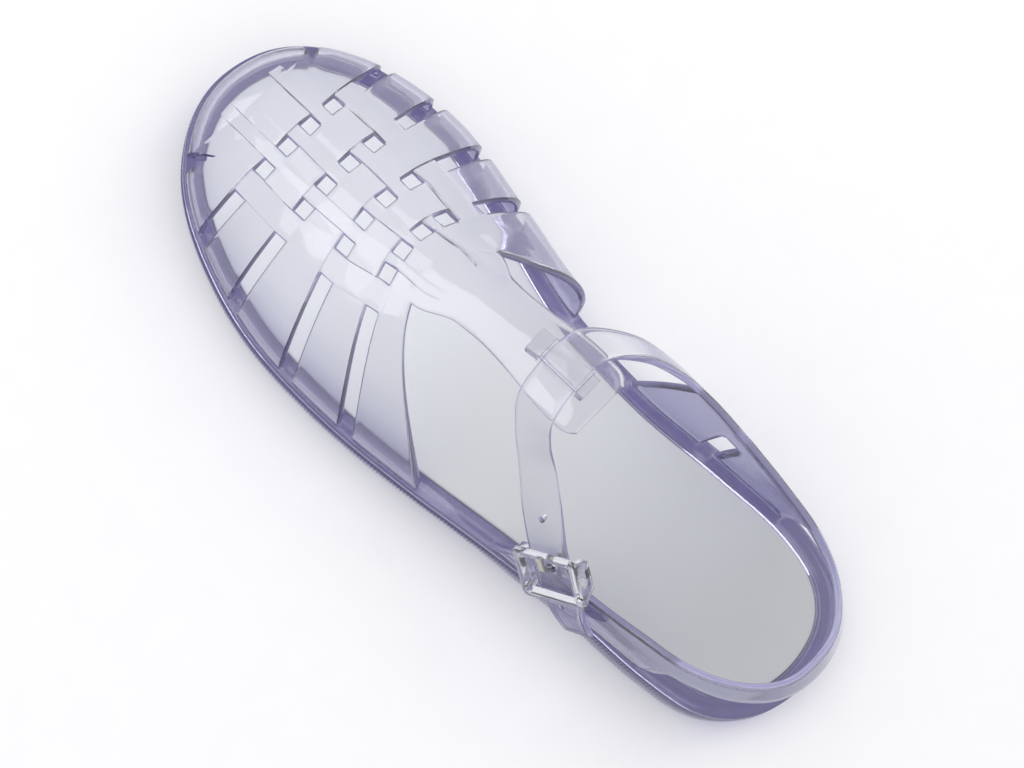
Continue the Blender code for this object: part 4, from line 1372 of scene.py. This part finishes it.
def make_studio():
    """Pale paper under soft light, with enough bounces to see through several walls of vinyl."""
    scene = bpy.context.scene
    scene.world = bpy.data.worlds.new("studio")
    scene.world.use_nodes = True
    background = scene.world.node_tree.nodes["Background"]
    background.inputs["Color"].default_value = WORLD_COLOUR
    background.inputs["Strength"].default_value = WORLD_STRENGTH
    for lamp in LAMPS:
        soft_box(*lamp)
    data = bpy.data.meshes.new("floor")
    corners = [(x * FLOOR_REACH, y * FLOOR_REACH, 0) for x, y in ((-1, -1), (1, -1), (1, 1), (-1, 1))]
    data.from_pydata(corners, [], [(0, 1, 2, 3)])
    floor = link_object("floor", data)
    floor.data.materials.append(floor_paint())
    scene.view_settings.view_transform = "Standard"
    scene.cycles.max_bounces = LIGHT_BOUNCES
    scene.cycles.transmission_bounces = LIGHT_BOUNCES
    scene.cycles.transparent_max_bounces = LIGHT_BOUNCES


# Assembly


def settle(thing, material, middle, angle):
    """Moves a piece from the heel's numbers to the frame's, smooths it and gives it its material."""
    mesh = bmesh.new()
    mesh.from_mesh(thing.data)
    bmesh.ops.translate(mesh, vec=Vector((-middle, -LENGTH / 2, 0.0)) * MM, verts=mesh.verts)
    mesh.to_mesh(thing.data)
    mesh.free()
    for polygon in thing.data.polygons:
        polygon.use_smooth = True
    thing.data.set_sharp_from_angle(angle=math.radians(angle))
    thing.data.materials.clear()
    thing.data.materials.append(material)


def main():
    """Makes the five pieces, gives each its material and body, hides the part of model.glb that it replaces,
    and sets up the studio.
    """
    vinyl = clear_plastic("tinted clear vinyl", **UPPER_VINYL)
    sole_vinyl = clear_plastic("tinted clear sole vinyl", **SOLE_VINYL)
    acrylic = clear_plastic("clear moulded acrylic", **ACRYLIC)
    x, _ = outline(np.linspace(0.0, 360.0, WIDTH_SAMPLES))
    middle = float(x.min() + x.max()) / 2
    pieces = (
        (make_outsole(), sole_vinyl, 50.0, "outsole", "outsole"),
        (make_insole(), insole_paint(), 50.0, "insole", "insole"),
        (make_upper(), vinyl, 50.0, "upper", "upper"),
        (make_buckle_frame(), acrylic, 40.0, "buckle_frame", "buckle"),
        (make_buckle_prong(), steel(), 40.0, "buckle_prong", "prong"),
    )
    for thing, material, angle, node, slot in pieces:
        settle(thing, material, middle, angle)
        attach(thing, "root")
        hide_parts(node)
        print(thing.name, sum(len(p.vertices) - 2 for p in thing.data.polygons), "triangles")
    make_camera()
    make_studio()


main()


def plain(box):
    """A box as plain lists of numbers."""
    return [[float(v) for v in corner] for corner in box]
